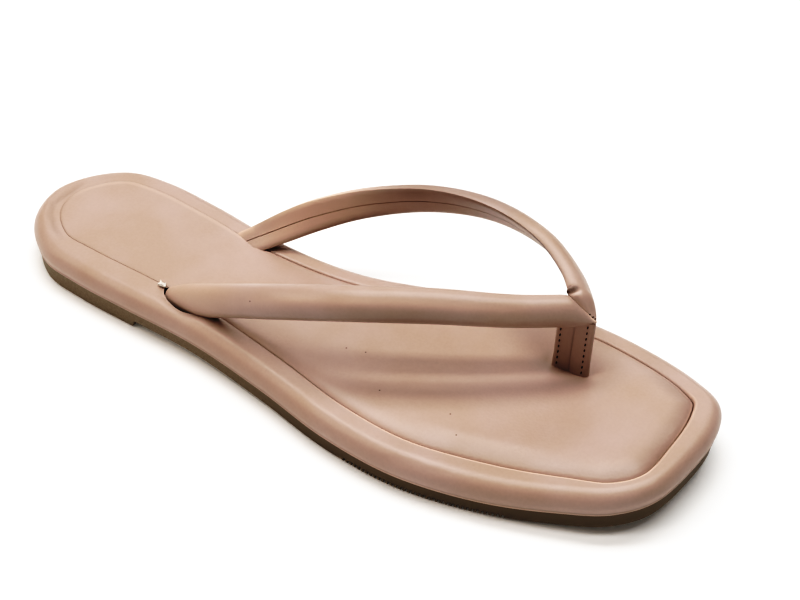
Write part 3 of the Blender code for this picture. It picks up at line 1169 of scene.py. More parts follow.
@dataclass
class Footbed:
    """Footbed wrapped in faux leather, with its rounded edge and the sock's recess."""

    form: SoleForm
    profile: tuple[EdgeRow, ...] = (
        EdgeRow(False, 2.0, 0.97),
        EdgeRow(False, 1.2, 0.95),
        EdgeRow(False, 0.75, 1.07),
        EdgeRow(False, 0.5, 1.35),
        EdgeRow(False, 0.47, 1.63),
        EdgeRow(False, 0.6, 1.9),
        EdgeRow(False, 0.55, 2.2),
        EdgeRow(False, 0.35, 2.9),
        EdgeRow(False, 0.1, 3.8),
        EdgeRow(False, 0.0, 4.7),
        EdgeRow(False, 0.35, 6.1),
        EdgeRow(False, 1.3, 7.7),
        EdgeRow(False, 2.7, 8.9),
        EdgeRow(False, 4.3, 9.5),
        EdgeRow(True, -1.8, 9.5),
        EdgeRow(True, -0.9, 9.4),
        EdgeRow(True, -0.4, 9.15),
        EdgeRow(True, -0.14, 8.7),
        EdgeRow(True, -0.02, 8.1),
        EdgeRow(True, 0.0, 6.7),
    )
    floor: float = 6.6
    top: float = 9.5
    # The lip of the groove begins this far over the recess's floor and rolls less at the heel.
    lip_start: float = 1.0
    heel_lip: float = 0.12
    per_span: int = 3
    # Painted highlight on the lower edge of the wrap, up to edge_top, and weaker towards the heel.
    edge_highlight: float = 0.6
    edge_top: float = 2.2
    edge_fade: tuple[float, float] = (1.65, 1.95)
    edge_heel: float = 0.35
    edge_run: tuple[float, float] = (110.0, 170.0)
    # Painted highlight on the groove's lip, over lip_low, on the near side and weakly at the toe.
    lip_pale: float = 1.0
    lip_low: float = 8.2
    lip_rise: tuple[float, float] = (0.1, 0.25)
    lip_fall: tuple[float, float] = (0.85, 1.15)
    lip_near: tuple[float, float] = (0.0, 20.0)
    lip_toe: float = 0.4
    lip_toe_run: tuple[float, float] = (228.0, 238.0)
    lip_run: tuple[float, float] = (115.0, 165.0)
    # Roll of the wrap into the outer strap's slot, and the painted shade of roll and heel line.
    rim_width: float = 1.3
    rim_depth: float = 0.6
    rim_shade: float = 0.5
    heel_line_shade: float = 0.6
    creases: tuple[Crease, ...] = (
        # Shallow slack of the wrap on the shoulder beside the ball of the foot.
        Crease(((43.6, 165.0, 12.4), (43.3, 170.0, 13.2), (42.0, 175.0, 13.8)), 1.5, 0.16),
        Crease(((43.6, 172.0, 11.8), (42.6, 178.0, 12.8), (41.0, 184.0, 13.6)), 1.5, 0.16),
        Crease(((44.9, 160.0, 10.8), (44.8, 166.0, 11.6), (44.0, 172.0, 12.2)), 1.6, 0.12),
    )
    # Second soft line outside the groove around the heel end.
    heel_line: Crease = Crease(
        ((-8.0, 9.3, 15.5), (-1.8, 8.4, 15.5), (6.4, 7.6, 15.4), (11.4, 10.6, 15.4),
         (16.4, 16.4, 15.4), (19.4, 22.3, 15.4)), 1.0, 0.3)

    def line(self, place: Station) -> list[Vector]:
        """Section of the wrap at one place, from under its edge down into the recess.

        Args:
            place: Place on the sole's outline.

        Returns:
            Points of the section.
        """
        lip = mix(self.heel_lip, 1.0, self.form.opening(place.point.y))
        knots = []
        for row in self.profile:
            start = place.border if row.from_groove else 0.0
            height = row.height
            if row.from_groove and height > self.floor + self.lip_start:
                height = self.top - (self.top - height) * lip
            knots.append(Vector((start + row.inset, height)))
        points = []
        for inset, height in smooth_path(knots, self.per_span):
            flat = place.point + place.inward * inset
            points.append(Vector((flat.x, flat.y, self.form.base(flat.y) + height)))
        return points

    def pale(self, point: Vector, groove: Rim) -> float:
        """Painted highlights on the wrap: along its lower edge and on the lip beside the groove.

        Args:
            point: Place on the wrap.
            groove: Line of the groove.

        Returns:
            The share of the pale colour.
        """
        height = point.z - self.form.base(point.y)
        if height < self.edge_top:
            front = mix(self.edge_heel, 1.0, smoothstep(*self.edge_run, point.y))
            return self.edge_highlight * front * (1.0 - smoothstep(*self.edge_fade, height))
        if height < self.lip_low:
            return 0.0
        line = band(groove.gap(point), self.lip_rise, self.lip_fall)
        toe = self.lip_toe * smoothstep(*self.lip_toe_run, point.y)
        near = max(smoothstep(*self.lip_near, point.x), toe)
        return self.lip_pale * line * near * smoothstep(*self.lip_run, point.y)

    def shade(self, point: Vector, rolled: Crease) -> float:
        """Painted shade on the wrap, in its heel line and where it rolls into the slot."""
        heel = self.heel_line_shade * self.heel_line.depth_at(point)
        return heel + self.rim_shade * rolled.depth_at(point)

    def build(self, shop: Workshop, slots: Sequence[bpy.types.Object],
              hole: Sequence[Vector]) -> None:
        """Args:
            shop: Where the piece is finished.
            slots: Cutters of the straps' slots.
            hole: Outer edge of the outer strap's slot, where the wrap rolls down.
        """
        form = self.form
        lines = [self.line(place) for place in form.stations()]
        skin = Skin([line[0] for line in lines])
        for row in range(1, len(lines[0])):
            skin.grow([line[row] for line in lines])
        skin.cross(PLAIN_SHARES, lambda point, share: form.base(point.y) + self.floor)
        skin.restart()
        skin.cross(PLAIN_SHARES, lambda point, share: form.split(point.y))
        mesh = skin.weld()
        rolled = Crease(tuple(tuple(point) for point in hole), self.rim_width, self.rim_depth)
        press(mesh, [*self.creases, self.heel_line, rolled])
        groove = form.groove()
        paint(mesh, PALE, lambda point: self.pale(point, groove))
        paint(mesh, SHADE, lambda point: self.shade(point, rolled))
        piece = shop.to_object("footbed_wrap", mesh, [shop.finishes["wrap"]], SOFT_DEG)
        shop.cut(piece, slots)
        shop.ship(piece, node="midsole")


@dataclass
class Sock:
    """Padded sock that rolls down into its groove."""

    form: SoleForm
    wall: float = 0.22
    foot: float = 6.8
    rings: tuple[float, ...] = (0.24, 0.27, 0.33, 0.44, 0.62, 0.9, 1.3)
    heel_close: float = 0.21
    heel_edge: float = 9.38
    heel_top: float = 9.8
    heel_roll: float = 5.0
    ball_edge: float = 7.9
    ball_top: float = 10.8
    ball_roll: float = 13.0
    toe_edge: float = 6.9
    toe_roll: float = 14.0
    toe_run: tuple[float, float] = (205.0, 228.0)
    # The edge stays higher on the far side, but half as much at the toe.
    far_edge: float = 9.0
    far_run: tuple[float, float] = (4.0, -12.0)
    far_toe: float = 0.5
    far_toe_run: tuple[float, float] = (226.0, 238.0)
    uneven: float = 0.05
    uneven_size: float = 17.0
    uneven_start: float = 6.0
    # Painted highlight along the far edge, wider at the heel than at the ball.
    far_pale: float = 0.22
    far_pale_rise: tuple[float, float] = (0.1, 0.3)
    far_pale_heel: float = 2.2
    far_pale_ball: float = 1.0
    far_pale_run: tuple[float, float] = (50.0, 110.0)
    far_pale_core: float = 0.6
    # Painted shade along the edge at the near side of the heel.
    heel_shade: float = 0.08
    heel_shade_fade: tuple[float, float] = (0.3, 0.9)
    heel_shade_side: tuple[float, float] = (-6.0, 6.0)
    heel_shade_run: tuple[float, float] = (58.0, 90.0)
    # Painted shade in a band inside the groove, on the near side and at the toe.
    near_shade: float = 0.12
    near_shade_side: tuple[float, float] = (5.0, 20.0)
    near_shade_run: tuple[float, float] = (150.0, 190.0)
    toe_shade: float = 0.2
    toe_shade_run: tuple[float, float] = (214.0, 228.0)
    band_rise: tuple[float, float] = (0.2, 1.2)
    band_fall: tuple[float, float] = (2.5, 7.5)
    creases: tuple[Crease, ...] = (
        # The post draws the sock down around its foot.
        Crease(((-17.0, 185.0, 15.4), (-17.0, 195.0, 15.6), (-17.0, 206.0, 15.9)), 4.6, 1.5),
        # Small dent in the heel, and a soft swell across the ball.
        Crease(((-16.2, 34.0, 15.9), (-14.9, 34.7, 15.9), (-13.6, 35.4, 15.9)), 1.1, 0.18),
        Crease(((27.5, 169.9, 15.4), (24.0, 186.0, 15.4), (19.5, 203.1, 15.9)), 2.6, -0.18),
    )

    def height(self, point: Vector, gap: float) -> float:
        """Height over the base at a distance from the groove.

        Args:
            point: Place on the sock.
            gap: Its distance from the groove.

        Returns:
            The height in millimetres.
        """
        front = self.form.opening(point.y)
        toe = smoothstep(*self.toe_run, point.y)
        edge = mix(mix(self.heel_edge, self.ball_edge, front), self.toe_edge, toe)
        far = smoothstep(*self.far_run, point.x)
        far *= 1.0 - self.far_toe * smoothstep(*self.far_toe_run, point.y)
        edge = mix(edge, self.far_edge, front * far)
        top = mix(self.heel_top, self.ball_top, front)
        roll = mix(mix(self.heel_roll, self.ball_roll, front), self.toe_roll, toe)
        inner = 1.0 - min(gap / roll, 1.0)
        return top - (top - edge) * (1.0 - math.sqrt(1.0 - inner * inner))

    def loop(self, ring: Sequence[Station], gap: float, rolls: bool = True) -> list[Vector]:
        """One ring of the sock's edge.

        Args:
            ring: Places on the sole's outline.
            gap: Distance inwards from the groove.
            rolls: Whether it lies on the roll, and not at the sock's foot.

        Returns:
            Its points.
        """
        points = []
        for place in ring:
            close = self.heel_close * (1.0 - self.form.opening(place.point.y))
            flat = place.point + place.inward * (place.border + gap - close)
            height = self.height(flat, gap - self.wall) if rolls else self.foot
            points.append(Vector((flat.x, flat.y, self.form.base(flat.y) + height)))
        return points

    def pad(self, point: Vector, rim: Rim) -> float:
        """Height of the padded top, a little uneven.

        Args:
            point: Place on the sock.
            rim: Last ring of its edge.

        Returns:
            The height over the floor.
        """
        gap = rim.gap(point)
        flat = Vector((point.x, point.y, 0.0))
        sway = noise.noise(flat / self.uneven_size) * self.uneven
        sway *= smoothstep(0.0, self.uneven_start, gap)
        reach = self.rings[-1] - self.wall + gap
        return self.form.base(point.y) + self.height(point, reach) + sway

    def pale(self, point: Vector, groove: Rim) -> float:
        """Painted highlight on the sock, along its far edge.

        Args:
            point: Place on the sock.
            groove: Line of the groove.

        Returns:
            The share of the pale colour.
        """
        front = smoothstep(*self.far_pale_run, point.y)
        width = mix(self.far_pale_heel, self.far_pale_ball, front)
        fall = (self.far_pale_core * width, width)
        line = band(groove.gap(point), self.far_pale_rise, fall)
        return self.far_pale * line * smoothstep(*self.far_run, point.x)

    def shade(self, point: Vector, groove: Rim) -> float:
        """Painted shade on the sock, along its near edge and at the toe.

        Args:
            point: Place on the sock.
            groove: Line of the groove.

        Returns:
            The share of the shade colour.
        """
        gap = groove.gap(point)
        heel = self.heel_shade * (1.0 - smoothstep(*self.heel_shade_fade, gap))
        heel *= smoothstep(*self.heel_shade_side, point.x)
        heel *= 1.0 - smoothstep(*self.heel_shade_run, point.y)
        near = self.near_shade * smoothstep(*self.near_shade_side, point.x)
        near *= smoothstep(*self.near_shade_run, point.y)
        toe = self.toe_shade * smoothstep(*self.toe_shade_run, point.y)
        return heel + max(near, toe) * band(gap, self.band_rise, self.band_fall)

    def build(self, shop: Workshop, slots: Sequence[bpy.types.Object]) -> None:
        """Args:
            shop: Where the piece is finished.
            slots: Cutters of the straps' slots.
        """
        form = self.form
        ring = form.stations()
        skin = Skin(self.loop(ring, self.wall, rolls=False))
        for gap in self.rings:
            skin.grow(self.loop(ring, gap))
        rim = Rim([vertex.co for vertex in skin.ring])
        skin.cross(CROSS_SHARES, lambda point, share: self.pad(point, rim))
        skin.restart()
        skin.cross(PLAIN_SHARES, lambda point, share: form.base(point.y) + self.foot)
        mesh = skin.weld()
        press(mesh, self.creases)
        groove = form.groove()
        paint(mesh, PALE, lambda point: self.pale(point, groove))
        paint(mesh, SHADE, lambda point: self.shade(point, groove))
        piece = shop.to_object("padded_sock", mesh, [shop.finishes["sock"]], SOFT_DEG)
        shop.cut(piece, slots)
        shop.ship(piece, node="insole")


@dataclass
class StrapForm:
    """Centre line and half-round section of one strap."""

    side: FootSide
    rows: tuple[StrapRow, ...]
    width: float = 11.2
    thickness: float = 5.0
    inner_face: float = -2.0
    crown_power: float = 0.75
    # How much narrower the strap gets, between these distances from its end along the shoe.
    taper: float = 0.0
    taper_run: tuple[float, float] = (48.0, 8.0)
    # How much wider the strap is above and below its centre where it goes into the footbed.
    foot_upper: float = 0.0
    foot_lower: float = 0.0
    foot_run: tuple[float, float] = (76.0, 100.0)
    slit: float = 0.55
    arc_points: int = 31
    arc_lead: float = 0.35
    face_places: tuple[float, ...] = (
        -0.95, -0.86, -0.7, -0.45, -0.2, -0.075, -0.03, 0.0,
        0.03, 0.075, 0.2, 0.45, 0.7, 0.86, 0.95)
    face_edge: float = 0.35
    face_edge_run: tuple[float, float] = (0.8, 1.0)
    fine_steps: int = 600
    slot_z: float = 13.0
    slot_spacing: float = 1.0
    slot_stop: float = 7.0
    slot_points: int = 40
    slot_room: float = 0.45
    slot_outer: float = 0.95
    slot_front: float = -0.9
    slot_narrow: float = 0.6
    slot_square: float = 0.4
    slot_flat: float = 1.6
    # Degrees round the section, from its upper edge, over which the slot closes.
    slot_close: tuple[float, float] = (104.0, 160.0)

    def slope(self, at: int, column: str) -> float:
        """Slope of one column of the table at a row.

        Args:
            at: Number of the row.
            column: Name of the column.

        Returns:
            Its change for each millimetre of y.
        """
        before = self.rows[max(at - 1, 0)]
        after = self.rows[min(at + 1, len(self.rows) - 1)]
        return (getattr(after, column) - getattr(before, column)) / (after.y - before.y)

    def value(self, y: float, column: str) -> float:
        """Smooth value of one column of the table.

        Args:
            y: Place along the shoe.
            column: Name of the column.

        Returns:
            The value there.
        """
        index = 0
        while index < len(self.rows) - 2 and self.rows[index + 1].y < y:
            index += 1
        start, end = self.rows[index:index + 2]
        span = end.y - start.y
        share = (y - start.y) / span
        bend = share * share * (3.0 - 2.0 * share)
        lead = share * (1.0 - share) * (1.0 - share) * self.slope(index, column)
        trail = share * share * (1.0 - share) * self.slope(index + 1, column)
        return mix(getattr(start, column), getattr(end, column), bend) + span * (lead - trail)

    def laps(self) -> bool:
        """Whether this strap laps the other one at the mitre."""
        return self.side is FootSide.LATERAL

    def centre(self, y: float) -> Vector:
        """Centre of the strap at y."""
        return Vector((self.value(y, "x"), y, self.value(y, "z")))

    def frame(self, y: float) -> StrapFrame:
        """Directions of the strap at a place.

        Args:
            y: Place along the shoe.

        Returns:
            The section's centre and its directions.
        """
        along = (self.centre(y + STRAP_STEP) - self.centre(y - STRAP_STEP)).normalized()
        up = Vector((0.0, 0.0, 1.0))
        level = (along.cross(up) * self.side.value).normalized()
        rise = (up - along * along.z).normalized()
        lean = math.radians(self.value(y, "lean"))
        outward = level * math.cos(lean) + rise * math.sin(lean)
        upper = rise * math.cos(lean) - level * math.sin(lean)
        return StrapFrame(self.centre(y), along, outward, upper)

    def end_frame(self) -> StrapFrame:
        """Directions of the strap at its end."""
        return self.frame(self.rows[-1].y)

    def girth(self, y: float, w: float = 0.0) -> float:
        """Share of the full width that the strap has.

        Args:
            y: Place along the shoe.
            w: Place across the strap; its sign says on which side of the centre.

        Returns:
            The share.
        """
        start, stop = (self.rows[-1].y - left for left in self.taper_run)
        share = 1.0 - self.taper * smoothstep(start, stop, y)
        foot = 1.0 - smoothstep(*self.foot_run, y)
        return share + (self.foot_lower if w < 0.0 else self.foot_upper) * foot

    def crown(self, n: float) -> float:
        """How far out on the round face a place lies, from 0 to 1."""
        return max(n - self.inner_face, 0.0) / self.thickness

    def section(self) -> list[tuple[float, float]]:
        """Closed section, from its upper edge round the outer face.

        Returns:
            Places up the strap and outwards.
        """
        half = self.width / 2.0
        points = []
        for step in range(self.arc_points):
            turn = math.pi * (step + self.arc_lead) / (self.arc_points - 1 + 2.0 * self.arc_lead)
            out = self.thickness * math.sin(turn) ** self.crown_power
            points.append((half * math.cos(turn), self.inner_face + out))
        for place in self.face_places:
            sink = self.slit if place == 0.0 else 0.0
            edge = self.face_edge * smoothstep(*self.face_edge_run, abs(place))
            points.append((half * place, self.inner_face + sink + edge))
        return points

    def stations(self, spacing: float, stop: float) -> list[tuple[float, float]]:
        """Evenly spaced places along the strap.

        Args:
            spacing: Distance between two places.
            stop: How far before the end the last place lies.

        Returns:
            Pairs of y and of the distance that is left to the end.
        """
        fine = self.fine_steps
        ys = [mix(self.rows[0].y, self.rows[-1].y, step / fine) for step in range(fine + 1)]
        points = [self.centre(y) for y in ys]
        travel = [0.0]
        for before, after in zip(points, points[1:]):
            travel.append(travel[-1] + (after - before).length)
        reach = travel[-1] - stop
        count = round(reach / spacing)
        places = []
        at = 0
        for step in range(count + 1):
            wanted = reach * step / count
            while at < fine - 1 and travel[at + 1] < wanted:
                at += 1
            share = (wanted - travel[at]) / (travel[at + 1] - travel[at])
            places.append((mix(ys[at], ys[at + 1], share), travel[-1] - wanted))
        return places

    def end_ring(self, mitre_x: float) -> list[Vector]:
        """Section at the end, slid along the strap onto the mitre plane.

        Args:
            mitre_x: Where the mitre plane lies.

        Returns:
            Points of the section.
        """
        centre, along, outward, upper = self.end_frame()
        girth = self.girth(self.rows[-1].y)
        ring = []
        for w, n in self.section():
            point = centre + upper * w * girth + outward * n
            ring.append(point + along * ((mitre_x - point.x) / along.x))
        return ring

    def slot_ring(self, z: float) -> list[Vector]:
        """Section where the strap goes through the footbed, a little enlarged.

        Args:
            z: Height that the section is slid to, along the strap.

        Returns:
            Points of the section, from its upper edge round the outer face.
        """
        places = self.stations(self.slot_spacing, self.slot_stop)
        y = next(at for at, _ in places if self.centre(at).z > self.slot_z)
        centre, along, outward, upper = self.frame(y)
        ring = []
        for step in range(self.slot_points):
            turn = 2.0 * math.pi * step / self.slot_points
            rear = 1.0 - smoothstep(*self.slot_close,
                                    math.degrees(min(turn, 2.0 * math.pi - turn)))
            room = mix(self.slot_front, self.slot_room, rear) * self.slot_narrow
            w = (self.width / 2.0 + room) * math.cos(turn)
            w *= self.girth(y, w)
            bulge = math.sin(turn) * abs(math.sin(turn)) ** self.slot_square
            if bulge < 0.0:
                n = (self.slot_room * rear - self.inner_face) * max(bulge * self.slot_flat, -1.0)
            else:
                room = mix(self.slot_front, self.slot_outer, rear)
                n = (self.thickness + self.inner_face + room) * bulge
            point = centre + upper * w + outward * n
            ring.append(point + along * ((z - point.z) / along.z))
        return ring


@dataclass
class StrapUpper:
    """Both straps, the mitre where the outer one laps the inner one, and its stitches."""

    lateral: StrapForm = field(default_factory=lambda: StrapForm(FootSide.LATERAL, (
        StrapRow(65.5, 21.0, 7.2, 0.0),
        StrapRow(76.3, 22.6, 15.6, 5.0),
        StrapRow(94.8, 23.9, 25.5, 16.0),
        StrapRow(117.4, 24.5, 36.6, 29.0),
        StrapRow(138.0, 20.0, 42.5, 35.0),
        StrapRow(159.5, 9.0, 43.4, 34.0),
        StrapRow(180.0, -4.0, 41.1, 26.0),
        StrapRow(197.0, -17.0, 39.5, 18.0),
    ), taper=0.08, foot_lower=0.12))
    medial: StrapForm = field(default_factory=lambda: StrapForm(FootSide.MEDIAL, (
        StrapRow(64.0, -9.5, 5.5, -70.0),
        StrapRow(80.0, -16.0, 17.3, -52.0),
        StrapRow(95.0, -24.0, 27.9, -16.0),
        StrapRow(112.0, -32.0, 35.8, 0.0),
        StrapRow(133.0, -38.6, 41.8, 13.0),
        StrapRow(154.0, -40.2, 44.6, 27.0),
        StrapRow(174.0, -35.6, 44.6, 35.5),
        StrapRow(188.5, -27.4, 41.6, 37.0),
        StrapRow(198.2, -17.0, 39.6, 42.0),
    ), slot_room=0.05, slot_outer=0.25, slot_front=-0.3,
       foot_upper=-0.2, foot_lower=-0.12))
    mitre_x: float = -17.0
    mitre_clear: float = 7.0
    mitre_rings: int = 12
    spacing: float = 0.6
    sway: float = 0.07
    sway_size: float = 9.0
    # The straps begin inside the footbed: no section reaches deeper than foot_bury under foot_z.
    foot_z: float = 9.6
    foot_bury: float = 3.2
    slot_low: float = 8.2
    slot_high: float = 22.0
    hole_z: float = 15.6
    # The lapping strap swells at the mitre, and the other one sinks under it.
    lip: float = 0.32
    lip_run: float = 1.6
    under: float = 0.4
    # Turned-in edge of the lapping strap: steps onwards and inwards.
    lip_turn: tuple[tuple[float, float], ...] = ((0.18, 0.12), (0.22, 0.5), (0.0, 0.9))
    # Tongue of the inner strap under the lap: how far it runs on and how much it narrows.
    tongue: float = 1.2
    tongue_narrow: float = 0.12
    # Creases on the outer faces: distance from the mitre and height across the strap.
    lateral_creases: tuple[Crease, ...] = (
        Crease(((28.5, -3.9), (25.5, -2.0), (22.0, 0.4)), 0.7, 0.17),
        Crease(((26.0, -4.2), (23.0, -2.4), (19.5, -0.2)), 0.7, 0.15),
        Crease(((33.0, -3.2), (30.0, -1.4), (27.0, 0.6)), 0.8, 0.10),
    )
    medial_creases: tuple[Crease, ...] = (
        Crease(((3.2, 3.4), (2.0, 0.6), (1.4, -2.0)), 0.9, 0.45),
        Crease(((5.6, 2.6), (5.0, 0.4), (4.6, -1.6)), 1.3, -0.30),
    )
    # Tuck at the crotch of the inner strap, with the short fold that runs from it.
    tucks: tuple[Tuck, ...] = (
        Tuck(((6.8, 5), (6.2, 3), (5.6, 2), (5.1, 1), (4.4, 0)), 0.75, 1.5),
        Tuck(((5.4, 7), (4.3, 4), (3.2, 2), (2.0, 1)), 0.6, -0.45),
    )
    # Painted shade lines of the inner strap: its inner edge, the pocket of the tuck, its lower
    # edge and its crown.
    shade_lines: tuple[Tuck, ...] = (
        Tuck(((34.0, -1), (26.0, -1), (18.0, -1), (12.0, -1), (8.0, -1)), 0.5, 0.5),
        Tuck(((6.9, 4), (6.2, 2), (5.6, 1), (5.1, 0), (4.5, -1), (4.2, -2)), 1.1, 1.15),
        Tuck(((140.0, 31), (126.0, 31), (112.0, 31), (98.0, 31), (84.0, 31)), 1.6, 0.4),
        Tuck(((98.0, 3), (86.0, 4), (74.0, 5), (62.0, 6), (50.0, 7), (38.0, 7)), 3.6, 0.3),
    )
    # Painted shade on the outer strap's face below its crown, and a painted highlight just above
    # it.
    outer_shade_lines: tuple[Tuck, ...] = (
        Tuck(((122.0, 24), (104.0, 24), (86.0, 24), (68.0, 24), (50.0, 24), (34.0, 24)),
             4.2, 0.24),
    )
    outer_highlight_lines: tuple[Tuck, ...] = (
        Tuck(((106.0, 13), (88.0, 13), (70.0, 13), (52.0, 13), (36.0, 13), (20.0, 13)),
             1.4, 0.3),
    )
    # Pale lines: a painted highlight on the fold's ridge, and the rear edge where the inner
    # strap goes in.
    pale_lines: tuple[Tuck, ...] = (
        Tuck(((5.2, 7), (4.2, 4), (3.2, 2), (2.2, 1)), 0.45, 0.8),
        Tuck(((147.0, -1), (142.0, -1), (137.0, -1)), 1.8, 0.9),
    )
    # Painted light: the inner strap is paler past its foot, and the outer strap at its foot.
    foot_painted_light: float = 0.95
    foot_pale_rise: tuple[float, float] = (74.0, 94.0)
    foot_pale_fall: tuple[float, float] = (96.0, 130.0)
    outer_foot_painted_light: float = 0.25
    outer_foot_run: tuple[float, float] = (78.0, 104.0)
    # The lapping cut edge is pale, its own colour and a painted highlight, and the inner strap
    # has painted shade along it.
    lip_reach: float = 2.0
    lip_pale: float = 0.95
    lip_pale_run: tuple[float, float] = (0.2, 0.6)
    lip_shade: float = 0.5
    lip_shade_run: tuple[float, float] = (0.2, 0.7)
    lip_hidden: int = 5
    most_shade: float = 0.92
    # The seam draws the section's round flat and lifts its lower edge to a point.
    seam_flat: float = 0.6
    seam_turn: float = 0.42
    seam_lift: float = 3.2
    # Thread ends at the mitre, by their points of the section.
    stitch_points: tuple[int, ...] = (13, 15, 17, 19)
    stitch_side: tuple[float, float, float] = (-1.0, -0.25, 0.35)
    stitch_out: float = 0.55
    stitch_length: float = 0.8
    stitch_radius: float = 0.17

    def plain_ring(self) -> list[Vector]:
        """Ring on the mitre plane, halfway between the ends of both straps."""
        ends = zip(self.lateral.end_ring(self.mitre_x), self.medial.end_ring(self.mitre_x))
        return [mix(a, b, 0.5) for a, b in ends]

    def mitre_ring(self) -> list[Vector]:
        """Ring that both straps share on the mitre plane, drawn flat by the seam.

        Returns:
            Points of the ring.
        """
        form = self.lateral
        out = (form.end_frame().outward + self.medial.end_frame().outward).normalized()
        out.x = 0.0
        ring = []
        for (w, n), middle in zip(form.section(), self.plain_ring()):
            place = w / (form.width / 2.0)
            flat = self.seam_flat + self.seam_turn * place
            point = middle - out * (n - form.inner_face) * flat
            low = max(-place, 0.0)
            ring.append(point + Vector((0.0, 0.0, self.seam_lift * low * low)))
        return ring

    def slots(self, shop: Workshop) -> list[bpy.types.Object]:
        """Cutters of the two slots in the footbed.

        Args:
            shop: Where they are made.

        Returns:
            The cutters.
        """
        cutters = []
        for form in (self.lateral, self.medial):
            skin = Skin(form.slot_ring(self.slot_low))
            skin.cap()
            skin.restart()
            skin.grow(form.slot_ring(self.slot_high))
            skin.cap()
            name = "slot_" + form.side.name.lower()
            cutters.append(shop.to_object(name, skin.weld(), [shop.finishes["board"]]))
        return cutters

    def hole(self) -> list[Vector]:
        """Outer edge of the outer strap's slot at the top of the footbed."""
        ring = self.lateral.slot_ring(self.hole_z)
        return ring[:len(ring) // 2 - 1]

    def rings(self, form: StrapForm, creases: Sequence[Crease]) -> list[Mark]:
        """Sections of one strap from its foot towards the mitre.

        Args:
            form: The strap.
            creases: Troughs on its outer face.

        Returns:
            The sections, up to where the mitre begins.
        """
        section = form.section()
        marks = []
        for y, left in form.stations(self.spacing, self.mitre_clear):
            centre, _, outward, upper = form.frame(y)
            ring = []
            for place, n in section:
                w = place * form.girth(y, place)
                spot = centre + upper * w + outward * n
                sway = self.sway * noise.noise(spot / self.sway_size)
                sink = sum(crease.depth_at(Vector((left, w))) for crease in creases)
                out = n + form.crown(n) * (sway - sink)
                ring.append(centre + upper * w + outward * out)
            if min(point.z for point in ring) > self.foot_z - self.foot_bury:
                marks.append(Mark(left, ring))
        return marks

    def mitre(self, form: StrapForm, start: Sequence[Vector],
              creases: Sequence[Crease]) -> list[Mark]:
        """Sections of one strap from its last free one to the mitre plane.

        Args:
            form: The strap.
            start: Its last free section.
            creases: Troughs on its outer face.

        Returns:
            The sections, the last one on the mitre plane.
        """
        outward = form.end_frame().outward
        section, end, plain = form.section(), self.mitre_ring(), self.plain_ring()
        swell = self.lip if form.laps() else -self.under
        marks = []
        for step in range(1, self.mitre_rings + 1):
            share = step / self.mitre_rings
            left = self.mitre_clear * (1.0 - share)
            ring = []
            for (w, n), a, b, c in zip(section, start, end, plain):
                point = mix(mix(a, b, share), mix(a, c, share), 1.0 - share * share)
                rise = swell * bell(left, self.lip_run)
                rise -= sum(crease.depth_at(Vector((left, w))) for crease in creases)
                ring.append(point + outward * rise * form.crown(n))
            marks.append(Mark(left, ring))
        return marks

    def close(self, skin: Skin, form: StrapForm) -> None:
        """Turn a strap's end in at the mitre and close both of its ends.

        Args:
            skin: Surface of the strap, grown up to the mitre.
            form: The strap.
        """
        along = form.end_frame().along
        middle = sum(self.mitre_ring(), Vector()) / len(skin.ring)
        rim = [vertex.co.copy() for vertex in skin.ring]
        if form.laps():
            for onward, inward in self.lip_turn:
                skin.grow([point + along * onward + (middle - point).normalized() * inward
                           for point in rim])
        else:
            skin.grow([point + along * self.tongue + (middle - point) * self.tongue_narrow
                       for point in rim])
        skin.cap()
        skin.restart()
        skin.cap()

    def folds(self, marks: Sequence[Mark], tucks: Sequence[Tuck]) -> list[Crease]:
        """Folds on a strap's surface, from their lines on the strap's sections.

        Args:
            marks: The strap's sections.
            tucks: The folds.

        Returns:
            The folds as creases in space.
        """
        creases = []
        for tuck in tucks:
            line = []
            for left, index in tuck.line:
                mark = min(marks, key=lambda mark: abs(mark.left - left))
                line.append(tuple(mark.ring[index]))
            creases.append(Crease(tuple(line), tuck.width, tuck.depth))
        return creases

    def pale(self, point: Vector, form: StrapForm, lines: Sequence[Crease],
             rim: Sequence[Vector]) -> float:
        """How pale a strap is at a point: painted light and highlights, and the pale cut edge.

        Args:
            point: Place on the strap.
            form: The strap.
            lines: Its pale lines.
            rim: Its edge at the mitre.

        Returns:
            The share of the pale colour.
        """
        if form.laps() and point.x <= self.mitre_x + self.lip_reach:
            gap = min((point - other).length for other in rim)
            return self.lip_pale * (1.0 - smoothstep(*self.lip_pale_run, gap))
        if form.laps():
            foot = self.outer_foot_painted_light * (1.0 - smoothstep(*self.outer_foot_run, point.y))
        else:
            foot = self.foot_painted_light * band(point.y, self.foot_pale_rise, self.foot_pale_fall)
        return min(foot + sum(line.depth_at(point) for line in lines), 1.0)

    def shade(self, point: Vector, form: StrapForm, lines: Sequence[Crease],
              rim: Sequence[Vector]) -> float:
        """Painted shade on a strap at a point.

        Args:
            point: Place on the strap.
            form: The strap.
            lines: Its dark lines.
            rim: Its edge at the mitre.

        Returns:
            The share of the shade colour.
        """
        seam = 0.0
        if not form.laps() and point.x > self.mitre_x - self.lip_reach:
            gap = min((point - other).length for other in rim)
            seam = self.lip_shade * (1.0 - smoothstep(*self.lip_shade_run, gap))
        return min(seam + sum(line.depth_at(point) for line in lines), self.most_shade)

